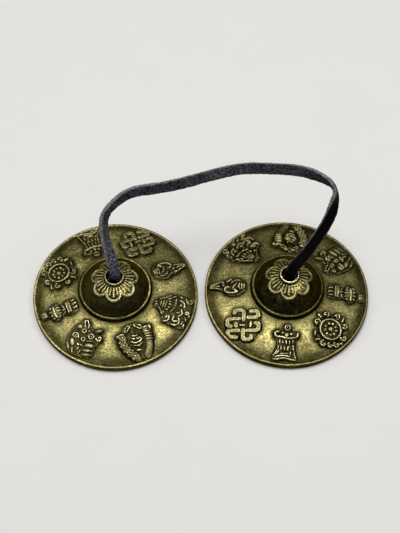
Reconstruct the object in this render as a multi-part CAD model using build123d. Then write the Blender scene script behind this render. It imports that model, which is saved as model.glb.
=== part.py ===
from build123d import *
import math
import os

# A pair of tingsha: two cast cymbals joined by one leather thong.
# Millimetres, +Z up, +X through both cymbals, table at Z = 0 and the origin midway between them.

# Cymbal plate
RIM_RADIUS = 32.5          # outside of the rim
RIM_GAP = 2.8              # between the two rims as they lie
EDGE_HEIGHT = 2.7          # height of the polished rim land above the table
RIM_LAND = 1.15            # width of the rim land
RIM_STEP = 0.2             # the plate starts this far below the land
RIM_ROUND = 0.5            # rounding of the rim's outer corners
REST_LAND = 2.2            # width of the flat ring underneath
PLATE_RISE = 3.7           # the plate climbs this much from the rim to the dome's foot
UNDERSIDE_RISE = 3.55      # the hollow under the plate climbs this much

# Dome
DOME_RADIUS = 15.2         # sphere of the dome's outside
DOME_TOP = 15.6            # pole of that sphere above the table
DOME_WALL = 2.6            # thickness of the dome
BEAD_CENTRE = 13.6         # radius of the bead round the dome's foot
BEAD_SIZE = 0.8            # half the bead's width
BEAD_HEIGHT = 1.9          # bead's crest above the plate
HOLE_RADIUS = 3.1          # hole for the thong
HOLE_ROUND = 0.8           # worn rounding at the hole's inner edge
COLLAR_WIDTH = 0.9         # raised collar round the hole
COLLAR_HEIGHT = 1.3        # collar's crest above the dome's pole

# Thong
STRAP_WIDTH = 4.2
STRAP_THICKNESS = 1.7
FOLD_CLEARANCE = 0.3       # between the thong's two stretches at the fold in the hole
FIRST_RUN = 5.2            # the thong stands straight up out of each hole for this far
LEFT_TURN = 4.0            # degrees that the thong's flat is turned from X in the left hole

# Knots under the domes
KNOT_RADIUS = 4.9
KNOT_HEIGHT = 6.6
KNOT_ROUND = 1.6
KNOT_CLEARANCE = 0.4       # to the dome's inside
WRAP_DEPTH = 0.6           # the outer turn stands this far out of the knot's core
WRAP_TILT = 24.0           # degrees
TAIL_LENGTH = 9.6          # from the knot's axis to the cut end
TAIL_DROOP = 4.0           # degrees
TAIL_TURN = {"left": 205.0, "right": -35.0}

# Relief
RELIEF_HEIGHT = 0.7        # raised strokes above the plate
PAD_HEIGHT = 0.35          # low bodies under some of the strokes
PETAL_HEIGHT = 0.5         # rosette above the dome
RELIEF_ROOT = 0.4          # the relief is rooted this far below the face it stands on
RELIEF_MARGIN = 0.25       # plain ring at each edge of the plate
SYMBOL_RADIUS = 23.6       # circle that the eight symbols stand on
PATTERN_TURN = 152.0       # degrees that the right cymbal's pattern is turned from the left one's
PETALS = 7
FIRST_PETAL = 268.0        # degrees, seen from above
PETAL_STROKE = 0.7
PETAL_TIP = 8.6            # radius of the outline's tip

# Places that follow from those sizes
CYMBAL_X = RIM_RADIUS + RIM_GAP / 2
DOME_CENTRE = DOME_TOP - DOME_RADIUS
INSIDE_RADIUS = DOME_RADIUS - DOME_WALL
COLLAR_TOP = DOME_TOP + COLLAR_HEIGHT
COLLAR_FOOT = HOLE_RADIUS + COLLAR_WIDTH
FOOT_RADIUS = BEAD_CENTRE + BEAD_SIZE
PLATE_EDGE = RIM_RADIUS - RIM_LAND
PLATE_START = EDGE_HEIGHT - RIM_STEP
REST_RADIUS = RIM_RADIUS - REST_LAND
HOLE_BOTTOM = DOME_CENTRE + math.sqrt(INSIDE_RADIUS**2 - HOLE_RADIUS**2)
FOLD_HEIGHT = (HOLE_BOTTOM + COLLAR_TOP) / 2
KNOT_FLAT = KNOT_RADIUS - KNOT_ROUND
KNOT_TOP = DOME_CENTRE + math.sqrt((INSIDE_RADIUS - KNOT_CLEARANCE) ** 2 - KNOT_FLAT**2)
KNOT_MIDDLE = KNOT_TOP - KNOT_HEIGHT / 2

# The eight symbols, each about its own middle with Y pointing to the rim.
# A bar is a width and its points, a ring a width, a radius and a place, a dot a radius and a place.
# A pad is two half axes and a place.
SYMBOLS = {
    "victory_banner": {
        "angle": 114.8,
        "bars": [
            (0.8, (-4.1, -3.7), (-3.9, -2.5), (-3.1, -2.0), (-1.2, -1.7), (0.5, -1.7), (1.3, -2.1),
             (2.5, -2.4), (3.7, -2.4), (4.4, -3.0), (4.2, -4.0), (3.2, -4.4)),
            (0.5, (-2.5, -1.0), (-2.5, -0.2)),
            (0.5, (-1.2, -0.7), (-1.1, 0.2)),
            (0.5, (0.2, -0.7), (0.1, 0.2)),
            (0.5, (1.4, -1.1), (1.3, -0.1)),
            (0.5, (2.6, -1.2), (2.6, -0.2)),
            (0.55, (-2.7, 1.1), (-2.9, 2.8)),
            (0.7, (-1.5, 1.4), (-0.8, 1.5), (-0.9, 2.8)),
            (0.5, (0.7, 1.4), (0.8, 2.9)),
            (0.55, (2.0, 1.1), (2.2, 2.0)),
            (0.5, (-3.0, 3.5), (-3.1, 4.4), (-3.6, 5.8)),
            (0.6, (-1.8, 3.7), (-1.7, 4.6)),
            (0.5, (3.0, 1.4), (3.7, 3.0), (5.0, 4.6)),
            (0.5, (2.5, 2.8), (3.6, 4.3)),
            (0.55, (-1.2, 5.6), (0.3, 5.2), (2.6, 5.2), (4.4, 5.5)),
            (0.45, (-0.9, 4.2), (2.3, 4.3)),
            (0.5, (-3.5, 6.7), (-1.4, 6.7), (0.2, 6.2), (1.9, 6.2), (3.6, 6.6), (5.0, 6.5)),
        ],
        "rings": [(0.55, 0.9, -0.6, -6.0)],
        "dots": [(0.5, -1.8, -3.7), (0.6, -0.2, -3.1), (0.45, 1.25, -3.7)],
    },
    "endless_knot": {
        "angle": 68.2,
        "turn": 45.0,
        "bars": [
            (0.95, (-3.4, 4.2), (-3.3, 5.5), (-2.7, 6.0), (-0.4, 6.0), (0.2, 5.4), (0.0, 2.2)),
            (0.95, (-1.3, 2.35), (-5.2, 2.35), (-5.9, 1.8), (-5.9, -0.3), (-5.5, -0.7), (-4.4, -0.7)),
            (0.95, (2.7, 4.8), (4.4, 4.7), (5.6, 4.1), (6.3, 3.0), (6.1, 2.3), (2.1, 2.3)),
            (0.95, (5.2, 0.1), (6.0, 0.0), (6.3, -0.4), (6.3, -2.0), (5.8, -2.5), (1.8, -2.5)),
            (1.15, (3.05, 0.3), (3.05, -0.4)),
            (0.7, (-0.2, 0.25), (1.3, 0.25)),
            (0.8, (-2.4, 0.3), (-2.6, -1.2)),
            (0.95, (-1.9, -3.0), (-5.1, -3.0), (-5.6, -3.6), (-5.4, -5.2), (-4.8, -5.7), (-2.9, -5.7),
             (-2.4, -4.9)),
            (0.95, (0.0, -1.8), (0.1, -5.3), (0.7, -5.9), (3.2, -5.6), (3.8, -4.9)),
        ],
    },
    "conch": {
        "angle": 25.0,
        "pads": [(3.9, 4.6, 0.1, -2.6)],
        "bars": [
            (0.75, (-2.5, -3.9), (-2.75, -2.3), (-2.4, -0.6), (-1.8, 0.6), (-0.9, 0.9), (-0.1, 0.2),
             (-0.2, -0.7)),
            (1.0, (-2.3, -4.0), (-1.6, -3.2)),
            (0.6, (-1.1, -2.2), (0.1, -2.7), (1.2, -3.8)),
            (0.7, (2.4, 0.0), (3.2, -1.1)),
            (0.7, (1.5, -1.7), (2.4, -2.6), (2.8, -3.8), (2.2, -4.9)),
            (0.6, (-1.0, -4.8), (1.4, -5.0)),
            (0.5, (-1.2, -5.6), (1.2, -5.8)),
            (0.6, (-0.9, -6.5), (0.8, -6.6)),
            (0.5, (0.7, 3.4), (0.8, 6.0)),
            (0.45, (-1.6, 2.1), (-0.9, 3.4), (-0.2, 6.2)),
            (0.45, (2.7, 1.6), (2.1, 3.2), (1.7, 6.2)),
        ],
        "dots": [(0.5, 0.7, 1.4), (0.5, 1.6, 2.3)],
    },
    "parasol": {
        "angle": 341.0,
        "bars": [
            (0.8, (-4.8, 1.8), (-4.7, 2.9), (-4.0, 3.7), (-2.9, 4.0), (-2.3, 3.7)),
            (0.75, (-1.5, 3.2), (-0.3, 4.1), (0.6, 4.1), (1.7, 3.0)),
            (0.75, (2.7, 4.5), (4.0, 4.4), (5.1, 3.7), (5.7, 2.5), (5.2, 1.6)),
            (0.7, (3.9, 3.2), (4.2, 2.2), (3.4, 1.6), (2.5, 1.5)),
            (0.6, (-5.2, 0.1), (-3.8, 0.2), (-2.3, 0.6)),
            (0.55, (-1.1, 0.5), (0.3, -0.1)),
            (0.8, (2.6, 0.1), (4.1, 0.3), (5.3, -0.4), (5.6, -1.3)),
            (0.7, (3.0, -0.9), (3.9, -0.8)),
            (0.75, (-4.5, -1.5), (-4.2, -2.2)),
            (0.75, (-3.1, -1.4), (-2.9, -2.1)),
            (0.85, (-1.7, -1.2), (-1.6, -1.8)),
            (0.75, (-0.4, -1.1), (-0.3, -1.9)),
            (0.75, (1.0, -1.5), (1.1, -2.1)),
            (0.75, (2.3, -2.1), (2.3, -2.6)),
            (0.45, (-2.2, -3.1), (1.0, -2.9)),
            (0.45, (-1.7, -3.9), (0.7, -3.8)),
            (0.5, (-1.2, -4.7), (0.3, -4.6)),
            (0.6, (-2.2, 5.1), (-1.2, 5.9), (-0.1, 5.5)),
            (0.6, (-6.6, 4.9), (-5.4, 5.4), (-4.7, 6.2)),
            (0.5, (1.9, 6.3), (3.2, 5.7), (4.6, 6.1)),
            (0.45, (-5.3, -1.2), (-3.7, -3.5), (-2.0, -5.3)),
            (0.45, (4.9, -2.4), (3.2, -3.7), (1.4, -5.4)),
        ],
        "rings": [(0.4, 0.5, 0.6, -6.4)],
        "dots": [(0.6, -0.8, -6.5)],
    },
    "golden_fish": {
        "angle": 291.8,
        "low_bars": [
            (2.2, (-1.8, 5.2), (-3.1, 3.3), (-4.2, 1.5), (-4.5, -0.6), (-4.4, -2.4), (-3.9, -4.0)),
            (2.2, (1.9, 5.2), (3.4, 3.8), (4.8, 1.0), (5.1, -1.0), (4.7, -2.8), (3.9, -4.4)),
        ],
        "bars": [
            (0.5, (-3.8, 3.05), (-2.7, 2.65)),
            (0.5, (-4.7, 1.85), (-3.6, 1.55)),
            (0.55, (-4.95, 0.7), (-3.85, 0.5)),
            (0.55, (-5.05, -0.4), (-3.95, -0.5)),
            (0.55, (-5.0, -1.5), (-3.9, -1.5)),
            (0.5, (-4.95, -2.5), (-3.85, -2.5)),
            (0.5, (-4.65, -3.5), (-3.55, -3.4)),
            (0.5, (4.1, 3.75), (3.0, 3.05)),
            (0.5, (4.8, 2.5), (3.7, 1.9)),
            (0.55, (5.3, 1.15), (4.3, 0.75)),
            (0.55, (5.55, 0.0), (4.45, -0.4)),
            (0.55, (5.65, -1.2), (4.55, -1.5)),
            (0.5, (5.45, -2.3), (4.35, -2.6)),
            (0.5, (4.85, -3.5), (3.75, -3.6)),
            (0.55, (-3.6, -5.0), (-2.6, -6.7), (-1.3, -7.1)),
            (0.55, (4.0, -5.2), (3.1, -6.7), (1.7, -7.1)),
            (0.5, (-5.7, -3.2), (-6.9, -4.2), (-4.8, -4.7)),
            (0.5, (6.1, -3.3), (7.2, -4.5), (5.0, -5.0)),
            (0.5, (-2.8, 5.0), (-1.1, 6.8), (-1.0, 4.6)),
            (0.5, (3.0, 5.2), (1.3, 6.8), (1.1, 4.6)),
            (0.55, (-1.5, 1.8), (0.4, 2.3), (1.8, 1.6)),
            (0.6, (-1.7, 0.4), (0.2, 0.9), (2.2, -0.1)),
            (0.7, (-1.7, -0.9), (0.2, -0.4), (2.3, -1.3)),
            (0.55, (-1.0, -2.0), (0.2, -1.7), (1.6, -2.3)),
            (0.8, (0.3, -3.1), (0.3, -5.2)),
            (0.9, (-0.2, 3.5), (0.9, 3.4)),
        ],
        "rings": [(0.5, 0.75, -1.8, -5.4), (0.5, 0.75, 2.2, -5.4)],
    },
    "lotus": {
        "angle": 239.6,
        "bars": [
            (0.6, (-4.8, 4.2), (-2.7, 5.1)),
            (0.6, (-4.7, 3.0), (-1.6, 4.1)),
            (1.0, (-4.4, 1.4), (-2.2, 2.1)),
            (0.6, (-4.0, 0.1), (-1.4, 0.9)),
            (0.6, (3.7, 5.2), (4.9, 3.8)),
            (1.1, (3.0, 3.3), (4.7, 2.2)),
            (0.6, (0.5, 5.3), (0.9, 4.2)),
            (0.6, (-0.3, 3.1), (0.4, 2.5), (1.1, 2.9), (1.8, 2.4)),
            (0.5, (1.5, 6.4), (2.5, 5.0)),
            (0.6, (2.2, 0.3), (3.3, -0.7), (4.9, -0.1), (4.1, 0.9), (2.6, 0.5)),
            (0.6, (-3.2, -3.5), (-4.6, -5.7), (-2.9, -6.3), (-0.9, -3.3)),
            (0.6, (-0.2, -3.9), (0.4, -5.4), (2.0, -6.8), (2.8, -5.7), (1.7, -4.2)),
        ],
        "rings": [
            (0.5, 0.75, 0.3, 0.4),
            (0.5, 0.85, -1.9, -1.7),
            (0.5, 0.85, -4.9, -2.0),
            (0.5, 0.75, 1.4, -2.3),
        ],
        "dots": [(0.8, 3.7, -3.4)],
    },
    "treasure_vase": {
        "angle": 201.0,
        "pads": [(3.8, 2.7, 0.0, 1.2)],
        "low_bars": [(2.3, (-0.3, 5.5), (1.2, 5.5))],
        "bars": [
            (1.0, (-2.4, 1.1), (0.0, 1.4), (2.6, 1.2)),
            (0.6, (-2.6, 2.0), (-2.3, 2.5)),
            (0.6, (-1.0, 2.5), (-0.9, 3.2)),
            (0.6, (0.6, 2.6), (0.6, 3.3)),
            (0.6, (2.2, 2.3), (2.0, 2.8)),
            (0.6, (-2.9, 0.2), (-2.6, -0.3)),
            (0.7, (-1.6, 0.2), (-1.5, -0.5)),
            (0.6, (-0.1, 0.3), (-0.1, -0.7)),
            (0.6, (1.4, 0.2), (1.3, -0.6)),
            (0.6, (2.8, 0.3), (2.5, -0.2)),
            (0.7, (-2.6, -2.0), (-1.4, -2.3)),
            (0.7, (-0.3, -2.1), (-0.3, -2.7)),
            (0.7, (0.9, -2.3), (2.1, -2.1)),
            (0.6, (2.3, -3.7), (-2.5, -3.7), (-3.0, -4.2), (-2.5, -4.7), (2.2, -4.7)),
            (0.9, (-1.5, -6.1), (-1.3, -7.1)),
            (0.7, (0.3, -6.2), (0.5, -7.3)),
            (0.5, (-3.1, -5.5), (-2.7, -6.7)),
            (0.5, (2.3, -5.5), (1.9, -6.7)),
            (0.4, (-0.3, 4.8), (-0.4, 6.3)),
            (0.4, (0.5, 4.8), (0.5, 6.4)),
            (0.4, (1.3, 4.8), (1.4, 6.3)),
        ],
    },
    "wheel": {
        "angle": 159.4,
        "bars": [
            (0.7, (-7.0, 0.1), (-5.8, 0.6)),
            (0.9, (-0.5, -5.6), (-0.5, -6.8)),
            (0.8, (6.7, 0.0), (7.4, -0.5)),
            (0.5, (-0.2, 6.6), (0.4, 7.0), (0.9, 6.5)),
        ],
        "rings": [
            (0.75, 4.05, 0.0, 0.3),
            (0.5, 0.8, -1.6, 5.8),
            (0.5, 0.8, 2.2, 5.7),
            (0.5, 0.75, -5.2, 2.6),
            (0.5, 0.75, -5.6, -1.6),
            (0.5, 0.75, 5.9, 2.2),
            (0.5, 0.75, 5.8, -2.1),
            (0.5, 0.75, -2.7, -4.9),
            (0.5, 0.8, 1.8, -5.3),
        ],
        "dots": [
            (0.55, 0.0, 0.3),
            (0.42, 2.1, 0.3),
            (0.42, 1.5, 1.8),
            (0.42, 0.0, 2.4),
            (0.42, -1.5, 1.8),
            (0.42, -2.1, 0.3),
            (0.42, -1.5, -1.2),
            (0.42, 0.0, -1.8),
            (0.42, 1.5, -1.2),
        ],
    },
}

# The thong's route, from the fold in the left hole over the arch to the fold in the right hole
ROUTE = [
    (-CYMBAL_X, 0, FOLD_HEIGHT),
    (-CYMBAL_X, 0, FOLD_HEIGHT + FIRST_RUN),
    (-34.2, 4.4, 24.0),
    (-35.6, 9.8, 29.8),
    (-37.2, 15.4, 36.6),
    (-36.4, 19.4, 41.6),
    (-30.6, 21.4, 44.2),
    (-21.6, 21.6, 44.5),
    (-10.4, 22.4, 45.6),
    (1.2, 24.8, 48.6),
    (12.8, 26.6, 51.0),
    (25.0, 26.5, 50.9),
    (36.0, 25.4, 49.5),
    (45.6, 24.2, 48.0),
    (51.4, 22.4, 45.6),
    (50.6, 18.2, 40.4),
    (46.8, 13.8, 34.9),
    (42.0, 8.9, 28.6),
    (37.4, 4.1, 23.2),
    (CYMBAL_X, 0, FOLD_HEIGHT + FIRST_RUN),
    (CYMBAL_X, 0, FOLD_HEIGHT),
]
ARC_SHARE = 0.45           # share of the shorter run that an arc takes up


def plate_top(radius):
    """Height of the plate's upper face at a radius."""
    return PLATE_START + PLATE_RISE * (PLATE_EDGE - radius) / (PLATE_EDGE - FOOT_RADIUS)


def cymbal_section():
    """Half section of a cymbal in the XZ plane."""
    dome_place = Pos(0, DOME_CENTRE)
    wall = dome_place * Circle(DOME_RADIUS) - dome_place * Circle(INSIDE_RADIUS)
    half = Pos(DOME_RADIUS, DOME_TOP) * Rectangle(2 * DOME_RADIUS, 2 * DOME_TOP)
    inside_foot = math.sqrt(INSIDE_RADIUS**2 - (UNDERSIDE_RISE - DOME_CENTRE) ** 2)
    slope = UNDERSIDE_RISE / (REST_RADIUS - inside_foot)
    hollow = make_face(Polyline((0, 0), (REST_RADIUS, 0), (0, slope * REST_RADIUS), close=True))
    plate = make_face(
        Polyline(
            (inside_foot, 0),
            (RIM_RADIUS, 0),
            (RIM_RADIUS, EDGE_HEIGHT),
            (PLATE_EDGE, EDGE_HEIGHT),
            (PLATE_EDGE, PLATE_START),
            (BEAD_CENTRE, plate_top(BEAD_CENTRE)),
            (inside_foot, plate_top(BEAD_CENTRE)),
            close=True,
        )
    )
    bead_top = plate_top(FOOT_RADIUS) + BEAD_HEIGHT
    bead = Pos(BEAD_CENTRE, bead_top - BEAD_SIZE) * Circle(BEAD_SIZE)
    bead_wall = Pos(BEAD_CENTRE, bead_top - BEAD_SIZE) * Rectangle(
        2 * BEAD_SIZE, 2 * (BEAD_HEIGHT - BEAD_SIZE), align=(Align.CENTER, Align.MAX)
    )
    collar_middle = HOLE_RADIUS + COLLAR_WIDTH / 2
    collar_crest = Pos(collar_middle, COLLAR_TOP - COLLAR_WIDTH / 2) * Circle(COLLAR_WIDTH / 2)
    collar_wall = Pos(collar_middle, COLLAR_TOP - COLLAR_WIDTH / 2) * Rectangle(
        COLLAR_WIDTH, COLLAR_HEIGHT + DOME_WALL / 2, align=(Align.CENTER, Align.MAX)
    )
    section = (wall & half) + plate - hollow + bead + bead_wall + collar_crest + collar_wall
    section -= Rectangle(2 * HOLE_RADIUS, 4 * DOME_TOP)
    rim_corners = [v for v in section.vertices() if abs(v.X - RIM_RADIUS) < 1e-6]
    section = fillet(rim_corners, RIM_ROUND)
    hole_corner = section.vertices().filter_by(lambda v: abs(v.X - HOLE_RADIUS) < 1e-6).sort_by(Axis.Y)[0]
    return fillet(hole_corner, HOLE_ROUND)


def bar(width, points):
    """Outlines of one raised stroke: a round-ended slot for each stretch of its line."""
    slots = []
    for first, last in zip(points, points[1:]):
        run = Vector(*last) - Vector(*first)
        middle = Vector(*first) + run * 0.5
        turn = math.degrees(math.atan2(run.Y, run.X))
        slots.append(Pos(middle.X, middle.Y) * Rot(0, 0, turn) * SlotCenterToCenter(run.length, width))
    return Sketch() + slots


def ring(width, radius, x, y):
    """Outline of one raised ring."""
    return Pos(x, y) * (Circle(radius + width / 2) - Circle(radius - width / 2))


def symbol_outlines(symbol):
    """Low and high outlines of one symbol, at its place on the plate."""
    place = Rot(0, 0, symbol["angle"] - 90) * Pos(0, SYMBOL_RADIUS) * Rot(0, 0, symbol.get("turn", 0))
    low = [Pos(x, y) * Ellipse(rx, ry) for rx, ry, x, y in symbol.get("pads", [])]
    low += [bar(width, points) for width, *points in symbol.get("low_bars", [])]
    high = [bar(width, points) for width, *points in symbol.get("bars", [])]
    high += [ring(*numbers) for numbers in symbol.get("rings", [])]
    high += [Pos(x, y) * Circle(radius) for radius, x, y in symbol.get("dots", [])]
    return [place * face for face in low], [place * face for face in high]


def petal_outlines():
    """Outlines of the rosette's petals: an outer and an inner hoop and a middle rib for each."""
    hoops = [
        [(COLLAR_FOOT, 21.0), (6.2, 21.6), (7.3, 19.0), (8.1, 13.0), (8.5, 6.5), (PETAL_TIP, 0.0)],
        [(COLLAR_FOOT, 9.5), (5.8, 9.5), (6.8, 7.5), (7.2, 4.0), (7.3, 0.0)],
    ]
    faces = []
    for number in range(PETALS):
        place = Rot(0, 0, FIRST_PETAL + number * 360 / PETALS)
        for hoop in hoops:
            half = [(r * math.cos(math.radians(a)), r * math.sin(math.radians(a))) for r, a in hoop]
            other = [(x, -y) for x, y in reversed(half[:-1])]
            faces.append(place * bar(PETAL_STROKE, half + other))
    return faces


def plate_layer(height):
    """Layer of that height on the plate, with its root."""
    inner = FOOT_RADIUS + RELIEF_MARGIN
    outer = PLATE_EDGE - RELIEF_MARGIN
    section = make_face(
        Polyline(
            (inner, plate_top(inner) - RELIEF_ROOT),
            (outer, plate_top(outer) - RELIEF_ROOT),
            (outer, plate_top(outer) + height),
            (inner, plate_top(inner) + height),
            close=True,
        )
    )
    return revolve(Plane.XZ * section, Axis.Z)


def raised(outlines, layer):
    """The part of a layer that lies over some outlines."""
    return extrude(Sketch() + outlines, COLLAR_TOP) & layer


def patterned_cymbal():
    """One cast cymbal on the Z axis, with its symbols and its rosette."""
    low_layer = plate_layer(PAD_HEIGHT)
    high_layer = plate_layer(RELIEF_HEIGHT)
    relief = []
    for symbol in SYMBOLS.values():
        low, high = symbol_outlines(symbol)
        if low:
            relief += raised(low, low_layer).solids()
        relief += raised(high, high_layer).solids()
    shell = Sphere(DOME_RADIUS + PETAL_HEIGHT) - Sphere(DOME_RADIUS - RELIEF_ROOT)
    relief += raised(petal_outlines(), Pos(0, 0, DOME_CENTRE) * shell).solids()
    return revolve(Plane.XZ * cymbal_section(), Axis.Z) + relief


def route_radii():
    """Arc radius at each inner point of the route, as large as its two runs allow."""
    points = [Vector(*p) for p in ROUTE]
    radii = []
    for before, here, after in zip(points, points[1:], points[2:]):
        turn = math.radians((here - before).get_angle(after - here))
        shorter = min((here - before).length, (after - here).length)
        radii.append(ARC_SHARE * shorter / math.tan(turn / 2))
    return radii


def strap_path():
    """Centre line of the thong's free stretch: straight runs joined by tangent arcs."""
    return FilletPolyline(*ROUTE, radius=route_radii())


def fold_bar(place, width_direction):
    """Rounded end of the thong at a fold, about the fold's axis."""
    return Plane(place, z_dir=width_direction) * Cylinder(STRAP_THICKNESS / 2, STRAP_WIDTH)


def strap():
    """The thong's free stretch, with the direction of its flat at the right end."""
    path = strap_path()
    left_flat = Vector(1, 0, 0).rotate(Axis.Z, LEFT_TURN)
    start = Plane(ROUTE[0], x_dir=left_flat, z_dir=path % 0)
    swept = sweep(start * Rectangle(STRAP_WIDTH, STRAP_THICKNESS), path)
    end_face = swept.faces().sort_by_distance(ROUTE[-1])[0]
    end_edge = end_face.edges().sort_by(SortBy.LENGTH)[-1]
    right_flat = end_edge % 0.5
    if right_flat.X < 0:
        right_flat = right_flat * -1
    solid = swept + fold_bar(ROUTE[0], left_flat) + fold_bar(ROUTE[-1], right_flat)
    expected = path.length * STRAP_WIDTH * STRAP_THICKNESS
    print(f"strap length {path.length:.2f}, volume {swept.volume:.1f}, section times length {expected:.1f}")
    return solid, left_flat, right_flat


def barrel(radius):
    """Round-shouldered barrel that a knot fills."""
    block = Pos(0, 0, KNOT_MIDDLE) * Cylinder(radius, KNOT_HEIGHT)
    return fillet(block.edges().filter_by(GeomType.CIRCLE), KNOT_ROUND)


def knot(side, flat):
    """Stopper knot with its neck in the hole, and the cut tail that comes out of it."""
    x = -CYMBAL_X if side == "left" else CYMBAL_X
    turn = math.degrees(math.atan2(flat.Y, flat.X))
    core = barrel(KNOT_RADIUS - WRAP_DEPTH)
    ring = Cylinder(2 * KNOT_RADIUS, STRAP_WIDTH)
    wrap = barrel(KNOT_RADIUS) & (Pos(0, 0, KNOT_MIDDLE) * Rot(WRAP_TILT, 0, 0) * ring)
    neck_top = FOLD_HEIGHT - STRAP_THICKNESS / 2 - FOLD_CLEARANCE
    neck_length = neck_top - KNOT_MIDDLE
    neck = Pos(0, 0, neck_top) * Box(
        STRAP_WIDTH, STRAP_THICKNESS, neck_length, align=(Align.CENTER, Align.CENTER, Align.MAX)
    )
    lump = core + wrap + neck
    tail_height = KNOT_MIDDLE - KNOT_HEIGHT / 2 + STRAP_THICKNESS
    tail_place = Pos(0, 0, tail_height) * Rot(0, 0, TAIL_TURN[side] - turn) * Rot(0, TAIL_DROOP, 0)
    strip = Box(TAIL_LENGTH, STRAP_WIDTH, STRAP_THICKNESS, align=(Align.MIN, Align.CENTER, Align.CENTER))
    tail = tail_place * strip - lump
    tail = tail.solids().sort_by(SortBy.VOLUME)[-1]
    place = Pos(x, 0, 0) * Rot(0, 0, turn)
    return place * lump, place * tail


def main():
    """Build every piece and write one STEP file for each."""
    free_strap, left_flat, right_flat = strap()
    left_knot, left_tail = knot("left", left_flat)
    right_knot, right_tail = knot("right", right_flat)
    casting = patterned_cymbal()
    pieces = {
        "left_cymbal": Pos(-CYMBAL_X, 0, 0) * casting,
        "right_cymbal": Pos(CYMBAL_X, 0, 0) * Rot(0, 0, PATTERN_TURN) * casting,
        "strap": free_strap,
        "left_knot": left_knot,
        "left_tail": left_tail,
        "right_knot": right_knot,
        "right_tail": right_tail,
    }
    os.makedirs("parts", exist_ok=True)
    for name, piece in pieces.items():
        export_step(piece, f"parts/{name}.step")
    print("casting", len(casting.solids()), "solid", round(casting.volume, 1), "mm3")
    print("arc radii", [round(r, 1) for r in route_radii()])
    print("fold height", round(FOLD_HEIGHT, 4), "cymbal x", CYMBAL_X)
    print("flat at the left", tuple(round(c, 4) for c in left_flat))
    print("flat at the right", tuple(round(c, 4) for c in right_flat))


main()
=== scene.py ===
"""A pair of tingsha: two cast cymbals with raised symbols, joined by one leather thong."""

import math

import bpy
import numpy as np
from mathutils import Matrix, Vector


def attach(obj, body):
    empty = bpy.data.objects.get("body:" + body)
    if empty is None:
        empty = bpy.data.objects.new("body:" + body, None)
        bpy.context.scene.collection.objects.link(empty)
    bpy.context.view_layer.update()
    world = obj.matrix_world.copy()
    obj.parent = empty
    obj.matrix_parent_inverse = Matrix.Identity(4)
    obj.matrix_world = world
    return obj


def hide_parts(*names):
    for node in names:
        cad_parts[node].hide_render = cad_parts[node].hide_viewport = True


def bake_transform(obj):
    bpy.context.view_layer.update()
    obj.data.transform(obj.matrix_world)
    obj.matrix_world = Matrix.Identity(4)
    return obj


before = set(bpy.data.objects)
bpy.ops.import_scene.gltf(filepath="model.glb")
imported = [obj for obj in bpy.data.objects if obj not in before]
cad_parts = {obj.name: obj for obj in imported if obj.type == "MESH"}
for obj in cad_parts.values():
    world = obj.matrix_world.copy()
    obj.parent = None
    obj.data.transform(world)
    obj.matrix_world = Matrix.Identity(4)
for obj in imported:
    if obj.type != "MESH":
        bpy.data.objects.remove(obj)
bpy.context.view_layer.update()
MM = 0.001

# Sizes of the cymbal in millimetres, as the part has them
CYMBAL_X = 33.9
RIM_RADIUS = 32.5
EDGE_HEIGHT = 2.7
RIM_ROUND = 0.5
RIM_BEAD = 0.57
RIM_CROWN = 0.36
PLATE_EDGE = 31.35
PLATE_START = 2.5
PLATE_RISE = 3.7
FOOT_RADIUS = 14.4
REST_RADIUS = 30.3
UNDERSIDE_RISE = 3.55
DOME_RADIUS = 15.2
DOME_CENTRE = 0.4
INSIDE_RADIUS = 12.6
HOLE_RADIUS = 3.1
HOLE_ROUND = 0.8
COLLAR_TOP = 16.9
COLLAR_FOOT = 4.0
COLLAR_CREST = 0.34
HOLE_WALL = 0.75
ROSETTE_ZONE = 9.4
DOME_FOOT = 12.9
BEAD_PLACE = (13.6, 7.72)
BEAD_SIZE = 0.42
PLATE_INNER = 14.5
PATTERN_TURN = 152.0
# Corners of the section beside the bead: radius, height and outward direction
VALLEY = [(13.02, 8.02, 0.95, 0.3), (13.12, 7.78, 0.7, 0.7)]
BEAD_FOOT = [
    (14.14, 7.35, 0.98, 0.2), (14.27, 6.9, 0.98, 0.2), (14.38, 6.5, 0.97, 0.25), (14.5, 6.27, 0.7, 0.7),
]
# Points round one ring of the mesh
FINE = 720
ROUND = 360
COARSE = 180

# Relief in millimetres
PLAQUE_HEIGHT = 0.55
LIMB_HEIGHT = 0.75
STROKE_HEIGHT = 0.62
STROKE_SOFT = 0.13
LIMB_FINE = 0.3
WIDE_STROKE = 0.7
SCALE_ROWS = 12
SCALE_STAGGER = ((-0.8, 0.8), (-1.35, 0.0, 1.35))
BODY_SOFT = 0.34
BODY_REACH = 0.32
PETAL_HEIGHT = 0.3
RIB_HEIGHT = 0.5
SYMBOL_RADIUS = 23.6
SYMBOL_REACH = 0.47
PLAQUE_SOFT = 0.15
EDGE_FADE = 0.5
CURL_TURN = 250.0
FAR = 9.0
PETALS = 7
FIRST_PETAL = 268.0
PETAL_REACH = 0.62
PETAL_MARGIN = 0.42
PETAL_STROKE = 0.56
PETAL_SOFT = 0.25
# Half of a petal's outline, as radius and degrees from its middle, and the foot that closes it
PETAL_OUTLINE = [(6.0, 23.6), (6.9, 23.4), (7.7, 19.0), (8.3, 12.5), (8.62, 6.0), (8.72, 0.0)]
PETAL_FOOT = [(-1.2, 3.0), (1.2, 3.0)]
# Ribs of a petal: place from its middle and the radius where each ends
PETAL_RIBS = [(-2, 6.45), (-1, 7.25), (0, 7.7), (1, 7.25), (2, 6.45)]
RIB_SHARE = 0.37
RIB_END = (0.25, 0.15)
ROSETTE_REACH = 10.2

# Wear of crowns: where on a rounded section it starts and is full, and how strong it is
STROKE_CROWN = (0.62, 0.97)
BODY_CROWN = (0.45, 0.95)
PETAL_CROWN = (0.42, 0.95)
PAD_TALL = 0.75
PAD_WEAR = 0.75
LIMB_WEAR = 0.42
PLATE_WEAR = 0.85
DOME_WEAR = 0.5

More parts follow.
